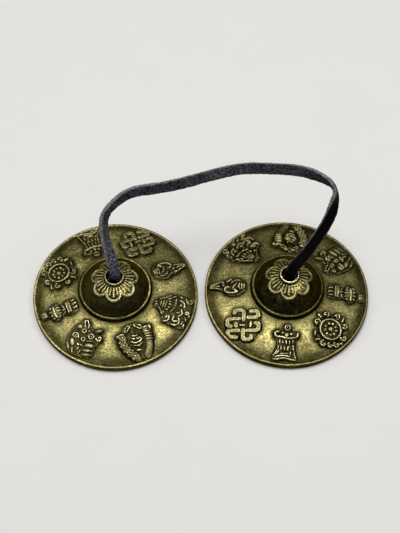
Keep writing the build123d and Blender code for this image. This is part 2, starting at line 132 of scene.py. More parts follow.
# Tarnish in the relief and in the rim's line; round the symbols and beside the bead it is tarnish and
# painted shade; by level and reach
SYMBOL_DIRT = 0.88
AROUND_DIRT_AND_SHADE, AROUND_REACH = 0.8, 0.7
BEAD_DIRT_AND_SHADE, BEAD_REACH = 0.9, 0.6
LINE_REACH = 0.42
OUTER_DIRT, OUTER_RADII = 0.72, (25.5, 30.5)
ROSETTE_DIRT, DOME_DIRT = 0.6, 0.86
# Reach of the tarnish and painted shade round the rosette's foot
PETAL_DIRT_AND_SHADE_REACH = 0.5
# Depth below and height above the blurred relief that count as a full hollow and a full rise
HOLLOW_FULL, RAISED_FULL, BLUR_ROUNDS = 0.14, 0.26, 6
# The plate is rubbed between these distances from a symbol and these radii
RUBBED_AWAY = (0.6, 1.9)
RUBBED_INNER = (15.0, 17.5)
RUBBED_OUTER = (26.5, 30.2)
# Wear, rubbed share and tarnish of the zones that have no relief; the tarnish on the rim's wall is painted
# shade, and on the bead's foot it is tarnish and painted shade
ZONES = {
    "hole": (0.0, 0.0, 0.9),
    "collar": (0.9, 0.0, 0.0),
    "valley": (0.0, 0.0, 1.0),
    "bead": (0.05, 1.0, 0.65),
    "foot": (0.0, 0.0, 1.0),
    "line": (0.0, 0.0, 1.0),
    "edge": (0.0, 0.5, 0.85),
    "crest": (0.35, 1.2, 0.45),
    # the rim's wall is dark by painted shade
    "wall": (0.0, 0.0, 0.9),
    "under": (0.0, 0.3, 0.35),
    "inside": (0.0, 0.0, 0.7),
}
# Wear of each casting: rubbed level, tarnish, sides where its rim and bead get a painted highlight,
# rosette, collar
PATINA_AND_HIGHLIGHT = {
    "left": (0.72, 0.95, 190.0, -20.0, 1.0, 0.62),
    "right": (0.46, 1.12, 165.0, 205.0, 0.7, 0.92),
}
# Spots that hands have rubbed, which also paint highlights where light falls: place from the cymbal's axis,
# size and strength
RUBBED_AND_HIGHLIGHT_SPOTS = {
    "left": [
        (13.5, -14, 5.5, 1.4), (18.5, -18, 7.5, 1.45), (22.5, 4, 5, 1.4), (0, -24, 4.5, 1),
        (-14, 13, 5, 1.2), (3.4, -4.8, 3, 1.3),
    ],
    "right": [
        (-7.4, -20, 4.5, 1.6), (6, -20, 4.5, 1.5), (-25, -9, 4, 1), (-20, 9, 3.5, 0.8),
        (2.8, -5, 2.9, 2.4),
    ],
}
# How far wear is painted brighter to one side, as painted highlight: towards the rosette's lit side, the
# front of the symbols and the lit sides of the rim and bead
ROSETTE_LIT_SIDE, ROSETTE_HIGHLIGHT_LEAN = math.radians(-60.0), 0.38
CROWN_LEVEL, CROWN_HIGHLIGHT_LEAN = 0.92, 0.14
RIM_HIGHLIGHT_LEAN = 0.5
# Radii inside which a place belongs to the dome, for its rubbed spots and for its crowns
BEAD_INNER, DOME_OUTER = FOOT_RADIUS - 1.5, FOOT_RADIUS - 2.5

# Colours of the brass and of the leather
BRASS = {
    "dull": (0.094, 0.085, 0.026, 1),
    "clear": (0.250, 0.227, 0.090, 1),
    "speck": (0.052, 0.046, 0.011, 1),
    "rubbed_and_highlight": (0.76, 0.655, 0.255, 1),
    "crown": (0.68, 0.60, 0.285, 1),
    # pale colour of the brightest crowns: painted highlight
    "painted_highlight": (0.90, 0.825, 0.52, 1),
    # dark patina, also used as painted shade
    "tarnish_and_shade": (0.0095, 0.0072, 0.0015, 1),
    "gleam": (0.70, 0.58, 0.36, 1.0),
}
LEATHER = {
    "nap_dark": (0.002, 0.0025, 0.0035, 1),
    "nap": (0.072, 0.078, 0.088, 1),
    "dust_dark": (0.009, 0.012, 0.017, 1),
    "dust": (0.235, 0.255, 0.285, 1),
    "smooth": (0.018, 0.020, 0.025, 1),
    "pore": (0.0006, 0.0006, 0.0006, 1),
    "grain": (0.0026, 0.0026, 0.0024, 1),
    "cut_dark": (0.10, 0.105, 0.105, 1),
    "cut": (0.33, 0.335, 0.32, 1),
}
BUMP_STRENGTH = 0.6

# The eight symbols, each about its own middle with Y pointing to the rim, in millimetres.
# A plaque is a closed outline, a limb a full round bar.
# A pad is two half axes, a place, a height and the turn of its first axis in degrees.
# A bar is a width and its points, a ring a width, a radius and a place, a dot a radius and a place.
# A curl is a ring left open, with the angle of its first end in degrees.
# Scales are a radius and the number of the limb that they cover.
SYMBOLS = {}
SYMBOLS["victory_banner"] = {
    "angle": 114.8,
    "plaque": [
        (-4.5, -3.6), (-4.3, -2.2), (-3.1, -1.3), (-2.9, 1), (-2.9, 2.6), (-3.5, 5.2), (-3.9, 6.9),
        (-1.5, 7.1), (0.6, 6.6), (2.4, 6.6), (5.2, 7), (6.2, 6), (5.7, 4.4), (4.4, 2.2), (4, 0.6),
        (4.1, -1.2), (5.4, -2.2), (5.6, -3.8), (4.4, -4.8), (2.9, -4.5), (1.6, -4.6), (1.5, -6.4),
        (0.4, -7.2), (-0.9, -7), (-1.5, -5.8), (-1.2, -4.6), (-2.6, -4.2), (-3.6, -4.3),
    ],
    "bars": [
        (0.9, (-4, -3.7), (-3.8, -2.6), (-3, -2), (-1.2, -1.75), (0.6, -1.75), (1.5, -2.1), (2.6, -2.35),
         (3.8, -2.4), (4.7, -2.9), (4.8, -3.8), (4.1, -4.3), (3.4, -4.3)),
        (0.6, (-2, -0.9), (-2.1, 0.1)), (0.6, (-0.8, -0.7), (-0.8, 0.3)), (0.65, (0.5, -0.8), (0.5, 0.3)),
        (0.6, (1.8, -1), (1.8, 0.1)), (0.6, (3, -1.2), (3, 0)), (0.6, (-2.1, 1.2), (-2.2, 2.8)),
        (0.8, (-0.9, 1.5), (-0.1, 1.7), (-0.1, 2.8)), (0.6, (1.2, 1.4), (1.2, 2.8)),
        (0.6, (2.4, 1.3), (2.5, 2.4)), (0.6, (3.5, 1.1), (3.6, 2.2)),
        (0.55, (-2.5, 3.5), (-2.7, 4.6), (-3.2, 6)), (0.6, (-1.2, 3.7), (-1.1, 4.6)),
        (0.6, (3.9, 2.7), (4.6, 4), (5.5, 5)), (0.6, (3.2, 3), (4.2, 4.4)), (0.5, (0, 4.1), (2.4, 4.2)),
        (0.8, (-0.8, 5.4), (0.8, 5), (2.8, 5), (4.6, 5.5)),
        (0.6, (-3.2, 6.6), (-1.2, 6.5), (0.6, 5.95), (2.4, 5.95), (4, 6.4), (5.4, 6.3)),
    ],
    "rings": [(0.55, 0.95, 0, -5.9)],
    "dots": [(0.55, -1.4, -3.4), (0.75, 0.3, -3.1), (0.55, 1.8, -3.8), (0.3, 0, -6)],
}
SYMBOLS["endless_knot"] = {
    "angle": 68.8,
    "turn": 45.0,
    "plaque": [
        (-5.4, 3.2), (-3.6, 6.4), (0.6, 6.5), (1.6, 5), (5.8, 5.2), (6.6, 2), (6.6, -2.6), (4.4, -3.4),
        (4.2, -6), (-0.4, -6.4), (-1.6, -5), (-2.8, -6.2), (-5.8, -6), (-6.4, -1.6), (-6.4, 2.6),
    ],
    "bars": [
        (1.55, (-3.1, 4.5), (-3, 5.4), (-2.4, 5.9), (-0.6, 5.9), (0.1, 5.3), (0.1, 2.1)),
        (1.5, (-1.4, 2.4), (-4.9, 2.4), (-5.8, 1.8), (-5.9, 0), (-5.3, -0.5), (-4.6, -0.5)),
        (1.5, (2.6, 5.1), (4.6, 4.9), (5.6, 4.3), (6.1, 3.1), (5.8, 2.5), (1.9, 2.4)),
        (1.5, (4.8, 0.6), (5.7, 0.5), (6.2, 0), (6.2, -1.8), (5.6, -2.4), (1.7, -2.4)),
        (1.55, (2.9, 0.5), (2.95, -0.4)), (1, (-0.4, 0.3), (1.3, 0.3)), (1.25, (-2.6, 0.8), (-2.8, -0.9)),
        (1.55, (-1.8, -2.8), (-4.8, -2.8), (-5.6, -3.5), (-5.4, -4.9), (-4.6, -5.4), (-2.7, -5.3)),
        (1.55, (0, -1.9), (0, -5.2), (0.7, -5.9), (3.1, -5.8), (3.7, -4.8)),
    ],
}
SYMBOLS["conch"] = {
    "angle": 25.5,
    "plaque": [
        (-3, 0.6), (-1.5, 2), (-0.9, 3.4), (-0.5, 5), (-0.3, 7), (1.7, 7), (2.1, 5), (2.7, 3.2), (3.3, 2.3),
        (3.4, 0.4),
    ],
    "pads": [(4.1, 4.9, 0.1, -2.6, 0.3, 0)],
    "bars": [
        (0.95, (-2.6, -3.8), (-2.8, -2.2), (-2.5, -0.4), (-1.7, 0.8), (-0.7, 0.9), (0, 0.2), (-0.1, -0.6)),
        (1.2, (-2.3, -3.9), (-1.5, -3.1)), (0.75, (-1, -2.2), (0.1, -2.7), (1.1, -3.7)),
        (0.85, (2.4, -0.1), (3.2, -1.6)), (0.75, (1.6, -1.8), (2.4, -2.6), (2.8, -3.9), (2.4, -5.1)),
        (0.6, (-1.2, -5), (0, -4.6), (1.3, -5.1)), (0.5, (-1.2, -5.8), (1.2, -5.8)),
        (0.75, (-0.9, -6.7), (0.9, -6.7)), (0.6, (0.7, 3), (0.7, 6.5)),
        (0.5, (-0.7, 2.3), (-0.3, 3.8), (0.1, 6.4)), (0.5, (2.3, 2.7), (1.7, 4.2), (1.3, 6.4)),
    ],
    "dots": [(0.6, 0.9, 1.4), (0.65, 2.3, 1.7)],
}
SYMBOLS["parasol"] = {
    "angle": 340.2,
    "plaque": [
        (-6.7, 0.2), (-7, 3.4), (-6.4, 6.3), (-4.2, 6.7), (-1.6, 7.2), (1, 7.3), (3.6, 6.7), (6.4, 6.9),
        (7.2, 4.2), (7, 1), (6.8, -1.6), (4.6, -2.8), (2.4, -4.6), (1.9, -7), (0.4, -7.5), (-1.2, -7.1),
        (-1.6, -5.2), (-3.4, -3.6), (-5.2, -1.8),
    ],
    "bars": [
        (0.9, (-4.4, 2), (-4.3, 3), (-3.5, 3.9), (-2.2, 4.1)), (0.6, (-3.2, 2.5), (-2.5, 3), (-2.2, 2.4)),
        (0.85, (-0.9, 3.3), (0.3, 4.2), (1.4, 4.1), (2.2, 3.1)), (0.6, (0.4, 2.9), (1.1, 3), (1, 2.2)),
        (0.8, (3, 3.4), (4.1, 4.3), (5.3, 4.1), (6.4, 3.1), (6.4, 1.8)),
        (1.1, (4.4, 3.2), (4.9, 2.4), (4.6, 1.6), (3, 1.5)),
        (0.95, (3.3, -0.2), (4.8, 0.1), (5.9, -0.5), (6.2, -1.4)), (1, (3.9, -1), (4.7, -1.2)),
        (0.6, (-4.2, 0.2), (-3, 0.5), (-1.7, 0.8)), (0.6, (-0.6, 0.6), (0.3, 0.3), (1.3, -0.2)),
        (0.8, (-5.4, -0.4), (-4.6, -1.2)), (0.8, (-3.7, -1.6), (-3.5, -2.4)),
        (0.8, (-2.4, -1.3), (-2.3, -2.1)), (0.95, (-1.2, -1.1), (-1.1, -1.7)),
        (0.8, (0.1, -1.1), (0.2, -1.9)), (0.8, (1.3, -1.5), (1.4, -2.2)), (0.55, (-2, -3), (0.8, -2.9)),
        (0.55, (-1.5, -3.9), (0.9, -3.8)), (0.55, (-1, -4.8), (0.6, -4.8)),
        (0.7, (-6.2, 3.7), (-5.4, 4.1), (-4.6, 4.5)), (0.7, (-6, 1.4), (-5.7, 2.2)),
        (0.7, (4.4, 6.2), (5.9, 6.2)), (0.6, (3.4, 5.4), (5, 5.2)), (0.6, (1.7, 5.8), (2.8, 6.4)),
        (0.5, (-5, -2), (-3.3, -3.9), (-1.7, -5.6)), (0.5, (3.9, -3), (2.5, -4.2), (1.5, -5.6)),
    ],
    "rings": [(0.55, 0.8, -5.3, 5.5)],
    "dots": [(0.95, -0.4, 5.9), (0.5, 0.5, 7), (0.6, 2.8, -2.8), (0.6, -0.2, -6.6), (0.55, 0.9, -6.3)],
}
SYMBOLS["golden_fish"] = {
    "angle": 291.8,
    "plaque": [
        (-1.2, 7.2), (0.6, 7), (3, 7.2), (5, 5.4), (6.6, 2.4), (7.1, -0.6), (6.6, -2.8), (7.7, -4.5),
        (5, -5.2), (3.4, -7), (1.4, -7.3), (0.2, -7.4), (-1.4, -7), (-3.2, -6), (-5, -4.9), (-7.2, -4.6),
        (-6.6, -2.4), (-6.2, 0.4), (-5.2, 3.6), (-3.6, 6.4),
    ],
    "limbs": [
        (3, (-1.7, 6), (-2.9, 4.4), (-3.9, 2.3), (-4.5, 0.2), (-4.6, -1.8), (-4.3, -3.4)),
        (3.2, (2.3, 6), (3.7, 4.4), (4.9, 2.2), (5.6, 0), (5.6, -1.8), (5, -3.4)),
    ],
    "scales": [(0.44, 1)],
    "pads": [(1, 2.2, 0.5, -4.2, 0.4, 0), (2.4, 2.6, 0.2, 0, 0.35, 0)],
    "bars": [
        (0.55, (-5.7, 0.9), (-3.2, 0.4)), (0.6, (-5.9, -0.2), (-3.3, -0.6)),
        (0.6, (-6, -1.3), (-3.3, -1.6)), (0.6, (-5.8, -2.4), (-3.2, -2.6)),
        (1, (-4, -4.3), (-5.2, -4.5), (-6.5, -4), (-6.3, -3.2)), (1, (4.4, -4.2), (5.6, -4.6), (6.9, -4.2)),
        (0.6, (-1.5, 1), (0.1, 1.9), (1.9, 1.2)),
        (0.85, (-1.9, -0.5), (-0.9, 0.3), (0.4, 0.5), (1.6, 0.2), (2.5, -0.6)),
        (1.2, (-1.4, -1.1), (0, -1)), (0.8, (1, -1.2), (1.9, -1.6)),
        (0.6, (-0.8, -2.3), (0.3, -2.1), (1.3, -2.6)), (0.9, (0.2, 3.5), (1.4, 3.3)),
        (0.6, (-3.5, -4.5), (-2.7, -4.2), (-0.9, -5.9), (-0.8, -6.6), (-1.6, -6.6), (-3.3, -5.3),
         (-3.5, -4.5)),
        (0.6, (3.4, -4.8), (3.3, -5.6), (1.8, -6.8), (1, -6.7), (1.1, -6), (2.6, -4.8), (3.4, -4.8)),
    ],
}
SYMBOLS["lotus"] = {
    "angle": 239.6,
    "plaque": [
        (-6.4, 4.4), (-5.4, 6.2), (-2.6, 6.9), (0.2, 7.3), (2.8, 7), (4.8, 5.6), (5.8, 3), (5.7, 0.4),
        (5.4, -2.8), (4.2, -4.6), (3.6, -6.6), (2, -7.3), (0.3, -6.2), (-1, -4.6), (-3.2, -5.2),
        (-5.2, -6.6), (-5.6, -5.4), (-4.2, -3.8), (-6.4, -3.6), (-7, -1.8), (-6, -0.6), (-5.9, 1.6),
    ],
    "pads": [
        (2.1, 0.75, -3.9, 5.2, 0.6, 22), (2.4, 0.85, -3.6, 3.6, 0.65, 19.5),
        (2.3, 1.15, -3.4, 1.6, 0.75, 22), (1.7, 0.6, -2.6, 0, 0.5, 23), (2.1, 1.15, 3.3, 3.1, 0.75, -52),
        (1.8, 0.65, 4.1, 5, 0.55, -48), (1.9, 0.85, -3.7, -4.9, 0.6, 43),
    ],
    "bars": [
        (0.6, (1.1, 6.8), (2.2, 5.2)), (0.7, (0.1, 5.1), (0, 4)),
        (0.7, (-1.1, 2.9), (-0.2, 2.6), (0.6, 3.1), (1.4, 2.7)),
        (0.65, (1.9, 0.5), (3.1, -0.8), (4.5, -0.2), (4.3, 0.8), (3, 1.1), (1.9, 0.5)),
        (0.65, (0.3, -3.9), (0.5, -5.2), (2, -6.7), (2.9, -6.1), (1.5, -4)),
        (0.45, (-1.2, 4.6), (-0.9, 6.2)),
    ],
    "rings": [(0.55, 0.7, 0, 0.4), (0.65, 0.95, -2.3, -1.9), (0.55, 0.75, 1.2, -2.6)],
    "curls": [(0.65, 0.95, -5.2, -2.4, 20)],
    "dots": [(0.8, 3.6, -3.4), (0.4, -2.3, -1.9), (0.45, -0.6, -3.4), (0.45, 3.3, 0.2)],
}
SYMBOLS["treasure_vase"] = {
    "angle": 201.0,
    "plaque": [
        (-1.3, 4), (-1.2, 7.1), (2, 7.1), (2.1, 4), (3.4, 2), (3.6, 0.2), (2.2, -1.5), (2.7, -3), (3, -5.2),
        (2.6, -7.4), (0.8, -7.8), (-1.4, -7.8), (-3.2, -7), (-3.4, -5.6), (-3.8, -4.4), (-3.4, -3.2),
        (-2.6, -1.8), (-3.8, 0.2), (-3.6, 2.2),
    ],
    "pads": [(3.8, 2.7, -0.1, 1.1, 0.6, 0)],
    "limbs": [(2.6, (0, 5.5), (0.9, 5.5)), (1.7, (-2.4, -4.2), (1.6, -4.2))],
    "bars": [
        (1.1, (-2.4, 1.1), (-0.4, 1.5), (2.4, 1.3)), (0.7, (-2.7, 2), (-2.4, 2.5)),
        (0.7, (-1.2, 2.6), (-1.1, 3.1)), (0.7, (0.4, 2.8), (0.4, 3.3)), (0.7, (2, 2.4), (1.8, 2.9)),
        (0.65, (-2.9, 0.2), (-2.5, -0.4)), (0.7, (-1.7, 0.1), (-1.5, -0.7)),
        (0.7, (-0.3, 0.2), (-0.3, -0.9)), (0.7, (1.2, 0.2), (1.1, -0.8)), (0.65, (2.6, 0.3), (2.3, -0.3)),
        (0.9, (-0.7, -1.9), (-0.6, -2.6)), (0.6, (-2.2, -2.1), (-1.6, -2.4)),
        (0.6, (0.4, -2.4), (1.6, -2.1)), (0.6, (-3, -3.6), (2.2, -3.6)), (0.6, (-2.6, -4.9), (2, -4.9)),
        (0.9, (-1.7, -6), (-1.5, -7.2)), (0.8, (-0.1, -6.1), (0.1, -7.3)), (0.7, (1.5, -6), (1.5, -7)),
        (0.45, (-0.4, 4.5), (-0.5, 6.5)), (0.45, (0.4, 4.5), (0.4, 6.6)), (0.45, (1.2, 4.5), (1.3, 6.5)),
    ],
}
SYMBOLS["wheel"] = {
    "angle": 159.4,
    "plaque": [
        (4.7, 0.3), (4.3, 2.2), (3.3, 3.7), (1.8, 4.6), (0, 5), (-1.8, 4.6), (-3.3, 3.6), (-4.3, 2.1),
        (-4.7, 0.3), (-4.3, -1.5), (-3.3, -3), (-1.8, -4), (0, -4.4), (1.8, -4), (3.3, -3), (4.3, -1.5),
    ],
    "bars": [
        (0.75, (-7.3, 0.3), (-6.4, 0.8), (-5.7, 1.1)), (1, (-0.4, -5.4), (-0.4, -6.9)),
        (0.75, (5.2, -3), (6.3, -2.2)), (0.8, (6.2, 0.3), (7.3, -0.5)),
        (0.6, (0.3, 6.9), (0.8, 7.2), (1.3, 6.8)),
    ],
    "rings": [(0.8, 4.05, 0.1, 0.3)],
    "curls": [
        (0.6, 0.95, -1.3, 6, 303), (0.6, 0.95, 2.7, 6, 265), (0.6, 0.85, -5, 3, 352),
        (0.6, 0.95, -5.5, -1.6, 39), (0.6, 0.95, 6.2, 2.3, 218), (0.55, 0.85, 4.6, 4.6, 243),
        (0.6, 0.9, -2.9, -4.9, 81), (0.6, 1, 1.9, -5.1, 129),
    ],
    "dots": [
        (0.8, 0, 0.3), (0.58, 2.4, 0.6), (0.58, 1.7, 1.9), (0.58, 0.4, 2.5), (0.58, -1.2, 2.2),
        (0.58, -2.1, 1.1), (0.58, -2.1, -0.6), (0.58, -0.9, -1.7), (0.58, 0.6, -1.8), (0.58, 1.9, -0.9),
    ],
}

# The thong, in metres: route, width, thickness and the direction of its flat in each hole
ROUTE = [
    (-0.0339, 0.0, 0.0147563), (-0.0332, 0.0001, 0.0199563), (-0.0350, 0.0047, 0.0241),
    (-0.0372, 0.0100, 0.0298), (-0.0375, 0.0149, 0.0363), (-0.0333, 0.0179, 0.0408),
    (-0.0267, 0.0210, 0.0441), (-0.0178, 0.0217, 0.0447), (-0.0070, 0.0231, 0.0462),
    (0.0041, 0.0250, 0.0489), (0.0152, 0.0265, 0.0510), (0.0265, 0.0261, 0.0508),
    (0.0371, 0.0259, 0.0498), (0.0454, 0.0237, 0.0478), (0.0502, 0.0212, 0.0449),
    (0.0501, 0.0180, 0.0403), (0.0484, 0.0136, 0.0348), (0.0443, 0.0093, 0.0289),
    (0.0396, 0.0045, 0.0235), (0.0344, 0.0002, 0.0205), (0.0339, 0.0, 0.0147563),
]
STRAP_WIDTH = 0.0042
STRAP_THICKNESS = 0.0017
LEFT_FLAT = (0.9976, 0.0698, 0.0)
RIGHT_FLAT = (0.9721, -0.2344, 0.0)
FOLD_HEIGHT = 0.0147563
STRAP_CORNER = 0.0004
KNOT_MIDDLE = 0.00885
# Turn of the thong's flat from lying across the view, in degrees, by share of its length
STRAP_TURN = [
    (0, 0), (0.04, -10), (0.08, -36), (0.13, -50), (0.19, -58), (0.23, -46), (0.28, -28),
    (0.36, -18), (0.50, -8), (0.62, -10), (0.68, -30), (0.715, -60), (0.75, -92), (0.775, -126),
    (0.80, -156), (0.84, -170), (1, -180),
]
TURN_BLUR = 13
# Uneven leather: waves by step along the thong and place round it, and the size of its fuzz
STRAP_WAVES = ((0.53, 0.9), (0.29, 1.7))
STRAP_FUZZ, FUZZ_SEED = 0.0022, 11
# Dust on the suede and paleness of the cut edges, by share of the thong's length; the cut edges are painted
# darker near both ends, inside the holes, as painted shade
DUST_PLACES, DUST = [0.0, 0.16, 0.24, 0.36, 0.44, 0.54, 1.0], [1.0, 0.85, 0.3, 0.05, 0.4, 0.12, 0.12]
CUT_PLACES, CUT_SHADING = [0.0, 0.025, 0.06, 0.88, 0.94, 1.0], [0.1, 0.2, 1.0, 1.0, 0.2, 0.1]

# Neck, knot and tail under each dome, in metres and degrees
NECK_ABOVE = 0.0005
WRAP_TURN, WRAP_STEPS = (-40.0, 385.0), 90
WRAP_REACH = (0.00305, 0.00400)
WRAP_WAVE = 0.0011
LOOP_TURN, LOOP_STEPS = (150.0, 390.0), 50
LOOP_WIDE, LOOP_TALL, LOOP_DROP = 0.0021, 0.0022, 0.0002
TAIL_TURN = {"left": 205.0, "right": -35.0}
TAIL_DROP, TAIL_START, TAIL_LENGTH, TAIL_SAG = 0.0016, 0.0022, 0.0074, 0.0007

# Stage and camera in metres; a light has a place, a size and a power, and looks at the middle
FLOOR_SIZE, FLOOR_HEIGHT = 3.0, -0.0001
SKY_MIDDLE = (-0.18, 0.10, 1.0)
SKY_EDGE, SKY_DIM, SKY_BRIGHT = 0.48, 0.07, 0.66
LIGHTS = {
    "key": ((-0.06, 0.06, 0.80), 0.36, 3.2),
    "side": ((-0.70, 0.15, 0.55), 0.40, 0.7),
    "spark": ((0.46, 0.12, 0.68), 0.20, 1.0),
}
CAMERA_PLACE = (-0.01529, -0.22458, 0.41653)
CAMERA_RIGHT = (0.9994, -0.0263, 0.0214)
CAMERA_UP = (0.0122, 0.8679, 0.4965)
CAMERA_LENS = 80.24


def linked(name, data):
    """New object in the scene."""
    obj = bpy.data.objects.new(name, data)
    bpy.context.scene.collection.objects.link(obj)
    return obj


def make_camera():
    """Camera at the photograph's place."""
    data = bpy.data.cameras.new("camera")
    data.sensor_width = 36.0
    data.lens = CAMERA_LENS
    data.clip_start = 0.01
    data.clip_end = 20.0
    cam = linked("camera", data)
    right = Vector(CAMERA_RIGHT).normalized()
    up = Vector(CAMERA_UP)
    up = (up - right * up.dot(right)).normalized()
    back = right.cross(up)
    turned = Matrix((right, up, back)).transposed().to_4x4()
    cam.matrix_world = Matrix.Translation(CAMERA_PLACE) @ turned
    bpy.context.scene.camera = cam


def mesh_object(name, points, faces, material, smooth=True, attributes=None):
    """New mesh object in the row frame, with float attributes on its points."""
    mesh = bpy.data.meshes.new(name)
    mesh.from_pydata([tuple(p) for p in points], [], faces)
    mesh.update()
    if smooth:
        mesh.polygons.foreach_set("use_smooth", [True] * len(mesh.polygons))
    for key, values in (attributes or {}).items():
        made = mesh.attributes.new(key, "FLOAT", "POINT")
        made.data.foreach_set("value", np.asarray(values, np.float32))
    mesh.materials.append(material)
    return linked(name, mesh)


def smoothstep(low, high, x):
    """Soft step from 0 at low to 1 at high."""
    t = np.clip((x - low) / (high - low), 0.0, 1.0)
    return t * t * (3.0 - 2.0 * t)


def fading(distance, size):
    """1 where the distance is 0, fading out over the size."""
    return np.exp(-((distance / size) ** 2))


def unit(rows):
    """Rows of vectors brought to length 1."""
    return rows / np.linalg.norm(rows, axis=1)[:, None]


def line_distance(u, v, points):
    """Distance of many places to one line of straight stretches."""
    best = np.full(u.shape, 1e9)
    for (ax, ay), (bx, by) in zip(points, points[1:]):
        dx, dy = bx - ax, by - ay
        t = np.clip(((u - ax) * dx + (v - ay) * dy) / (dx * dx + dy * dy), 0.0, 1.0)
        best = np.minimum(best, np.hypot(u - ax - t * dx, v - ay - t * dy))
    return best


def outline_distance(u, v, points):
    """Distance of many places to a closed outline, negative inside it."""
    closed = list(points) + [points[0]]
    inside = np.zeros(u.shape, bool)
    for (ax, ay), (bx, by) in zip(closed, closed[1:]):
        if ay != by:
            inside ^= ((ay > v) != (by > v)) & (u < ax + (v - ay) * (bx - ax) / (by - ay))
    distance = line_distance(u, v, closed)
    return np.where(inside, -distance, distance)


def ridge(distance, half, dished=False):
    """Section of a stroke, 1 on its crown and 0 away from it; a dished one is highest along its edges."""
    rise = smoothstep(-(half + STROKE_SOFT), -(half - STROKE_SOFT), -distance)
    across = np.clip(distance / half, 0.0, 1.0) ** 2
    return rise * (0.8 + 0.2 * across if dished else 1.0 - 0.4 * across)


def bulge(share):
    """Full round section, 1 in the middle and 0 at the edge."""
    return np.sqrt(np.clip(1.0 - share**2, 0.0, 1.0))


def scale_places(points):
    """Centres of a fish's scales, in staggered rows across the line through the points."""
    for row in range(SCALE_ROWS):
        place = (row + 0.5) / SCALE_ROWS * (len(points) - 1)
        first, share = int(place), place % 1.0
        (x0, y0), (x1, y1) = points[first], points[first + 1]
        length = math.hypot(x1 - x0, y1 - y0)
        for across in SCALE_STAGGER[row % 2]:
            x = x0 + share * (x1 - x0) - across * (y1 - y0) / length
            yield x, y0 + share * (y1 - y0) + across * (x1 - x0) / length


def strokes_of(symbol, u, v):
    """Distance to the middle line and half width of each fine stroke of a symbol."""
    for width, *points in symbol.get("bars", []):
        yield line_distance(u, v, points), width / 2
    for width, size, x, y in symbol.get("rings", []):
        yield np.abs(np.hypot(u - x, v - y) - size), width / 2
    for width, size, x, y, first in symbol.get("curls", []):
        turns = np.radians(first + np.linspace(0.0, CURL_TURN, 9))
        points = [(x + size * math.cos(t), y + size * math.sin(t)) for t in turns]
        yield line_distance(u, v, points + [(x, y)]), width / 2
    for size, x, y in symbol.get("dots", []):
        yield np.hypot(u - x, v - y), size
    for size, limb in symbol.get("scales", []):
        for x, y in scale_places(symbol["limbs"][limb][1:]):
            yield np.hypot(u - x, v - y), size


def symbol_relief(radius, angle):
    """Relief on the plate: height, crowns from 0 to 1, and distance to the nearest symbol's edge."""
    height = np.zeros(radius.shape)
    crown = np.zeros(radius.shape)
    edge = np.full(radius.shape, FAR)
    for symbol in SYMBOLS.values():
        turn = np.angle(np.exp(1j * (angle - math.radians(symbol["angle"]))))
        near = (np.abs(turn) < SYMBOL_REACH) & (radius > FOOT_RADIUS) & (radius < PLATE_EDGE)
        r, a = radius[near], turn[near]
        u, v = -r * np.sin(a), r * np.cos(a) - SYMBOL_RADIUS
        t = math.radians(symbol.get("turn", 0.0))
        u, v = u * math.cos(t) + v * math.sin(t), v * math.cos(t) - u * math.sin(t)
        body = np.full(u.shape, 1e-9)
        fine = np.zeros(u.shape)
        for distance, half in strokes_of(symbol, u, v):
            fine = np.maximum(fine, ridge(distance, half, half > WIDE_STROKE))
            body += np.exp(np.clip((half - distance) / BODY_SOFT, -30.0, 4.0))
        outside = -BODY_SOFT * np.log(body) - BODY_REACH
        outside = np.minimum(outside, outline_distance(u, v, symbol["plaque"]))
        full = np.zeros(u.shape)
        pad = np.zeros(u.shape)
        for rx, ry, x, y, tall, lean in symbol.get("pads", []):
            c, d = math.cos(math.radians(lean)), math.sin(math.radians(lean))
            share = np.hypot(((u - x) * c + (v - y) * d) / rx, ((v - y) * c - (u - x) * d) / ry)
            pad = np.maximum(pad, tall * bulge(share))
            outside = np.minimum(outside, (share - 1.0) * min(rx, ry))
        for width, *points in symbol.get("limbs", []):
            distance = line_distance(u, v, points)
            full = np.maximum(full, bulge(2.0 * distance / width))
            outside = np.minimum(outside, distance - width / 2)
        plaque = smoothstep(-PLAQUE_SOFT, PLAQUE_SOFT, -outside)
        form = np.maximum(LIMB_HEIGHT * full, pad)
        rise = PLAQUE_HEIGHT * plaque + form + STROKE_HEIGHT * fine * (1.0 - LIMB_FINE * full)
        top = smoothstep(*STROKE_CROWN, fine)
        top = np.maximum(top, PAD_WEAR * smoothstep(*BODY_CROWN, pad / PAD_TALL))
        top = np.maximum(top, LIMB_WEAR * smoothstep(*BODY_CROWN, full))
        fade = smoothstep(-PLATE_EDGE, -(PLATE_EDGE - EDGE_FADE), -r)
        fade = fade * smoothstep(FOOT_RADIUS, FOOT_RADIUS + EDGE_FADE, r)
        height[near] = np.maximum(height[near], rise * fade)
        crown[near] = np.maximum(crown[near], top * fade)
        edge[near] = np.minimum(edge[near], outside)
    return height, crown, edge


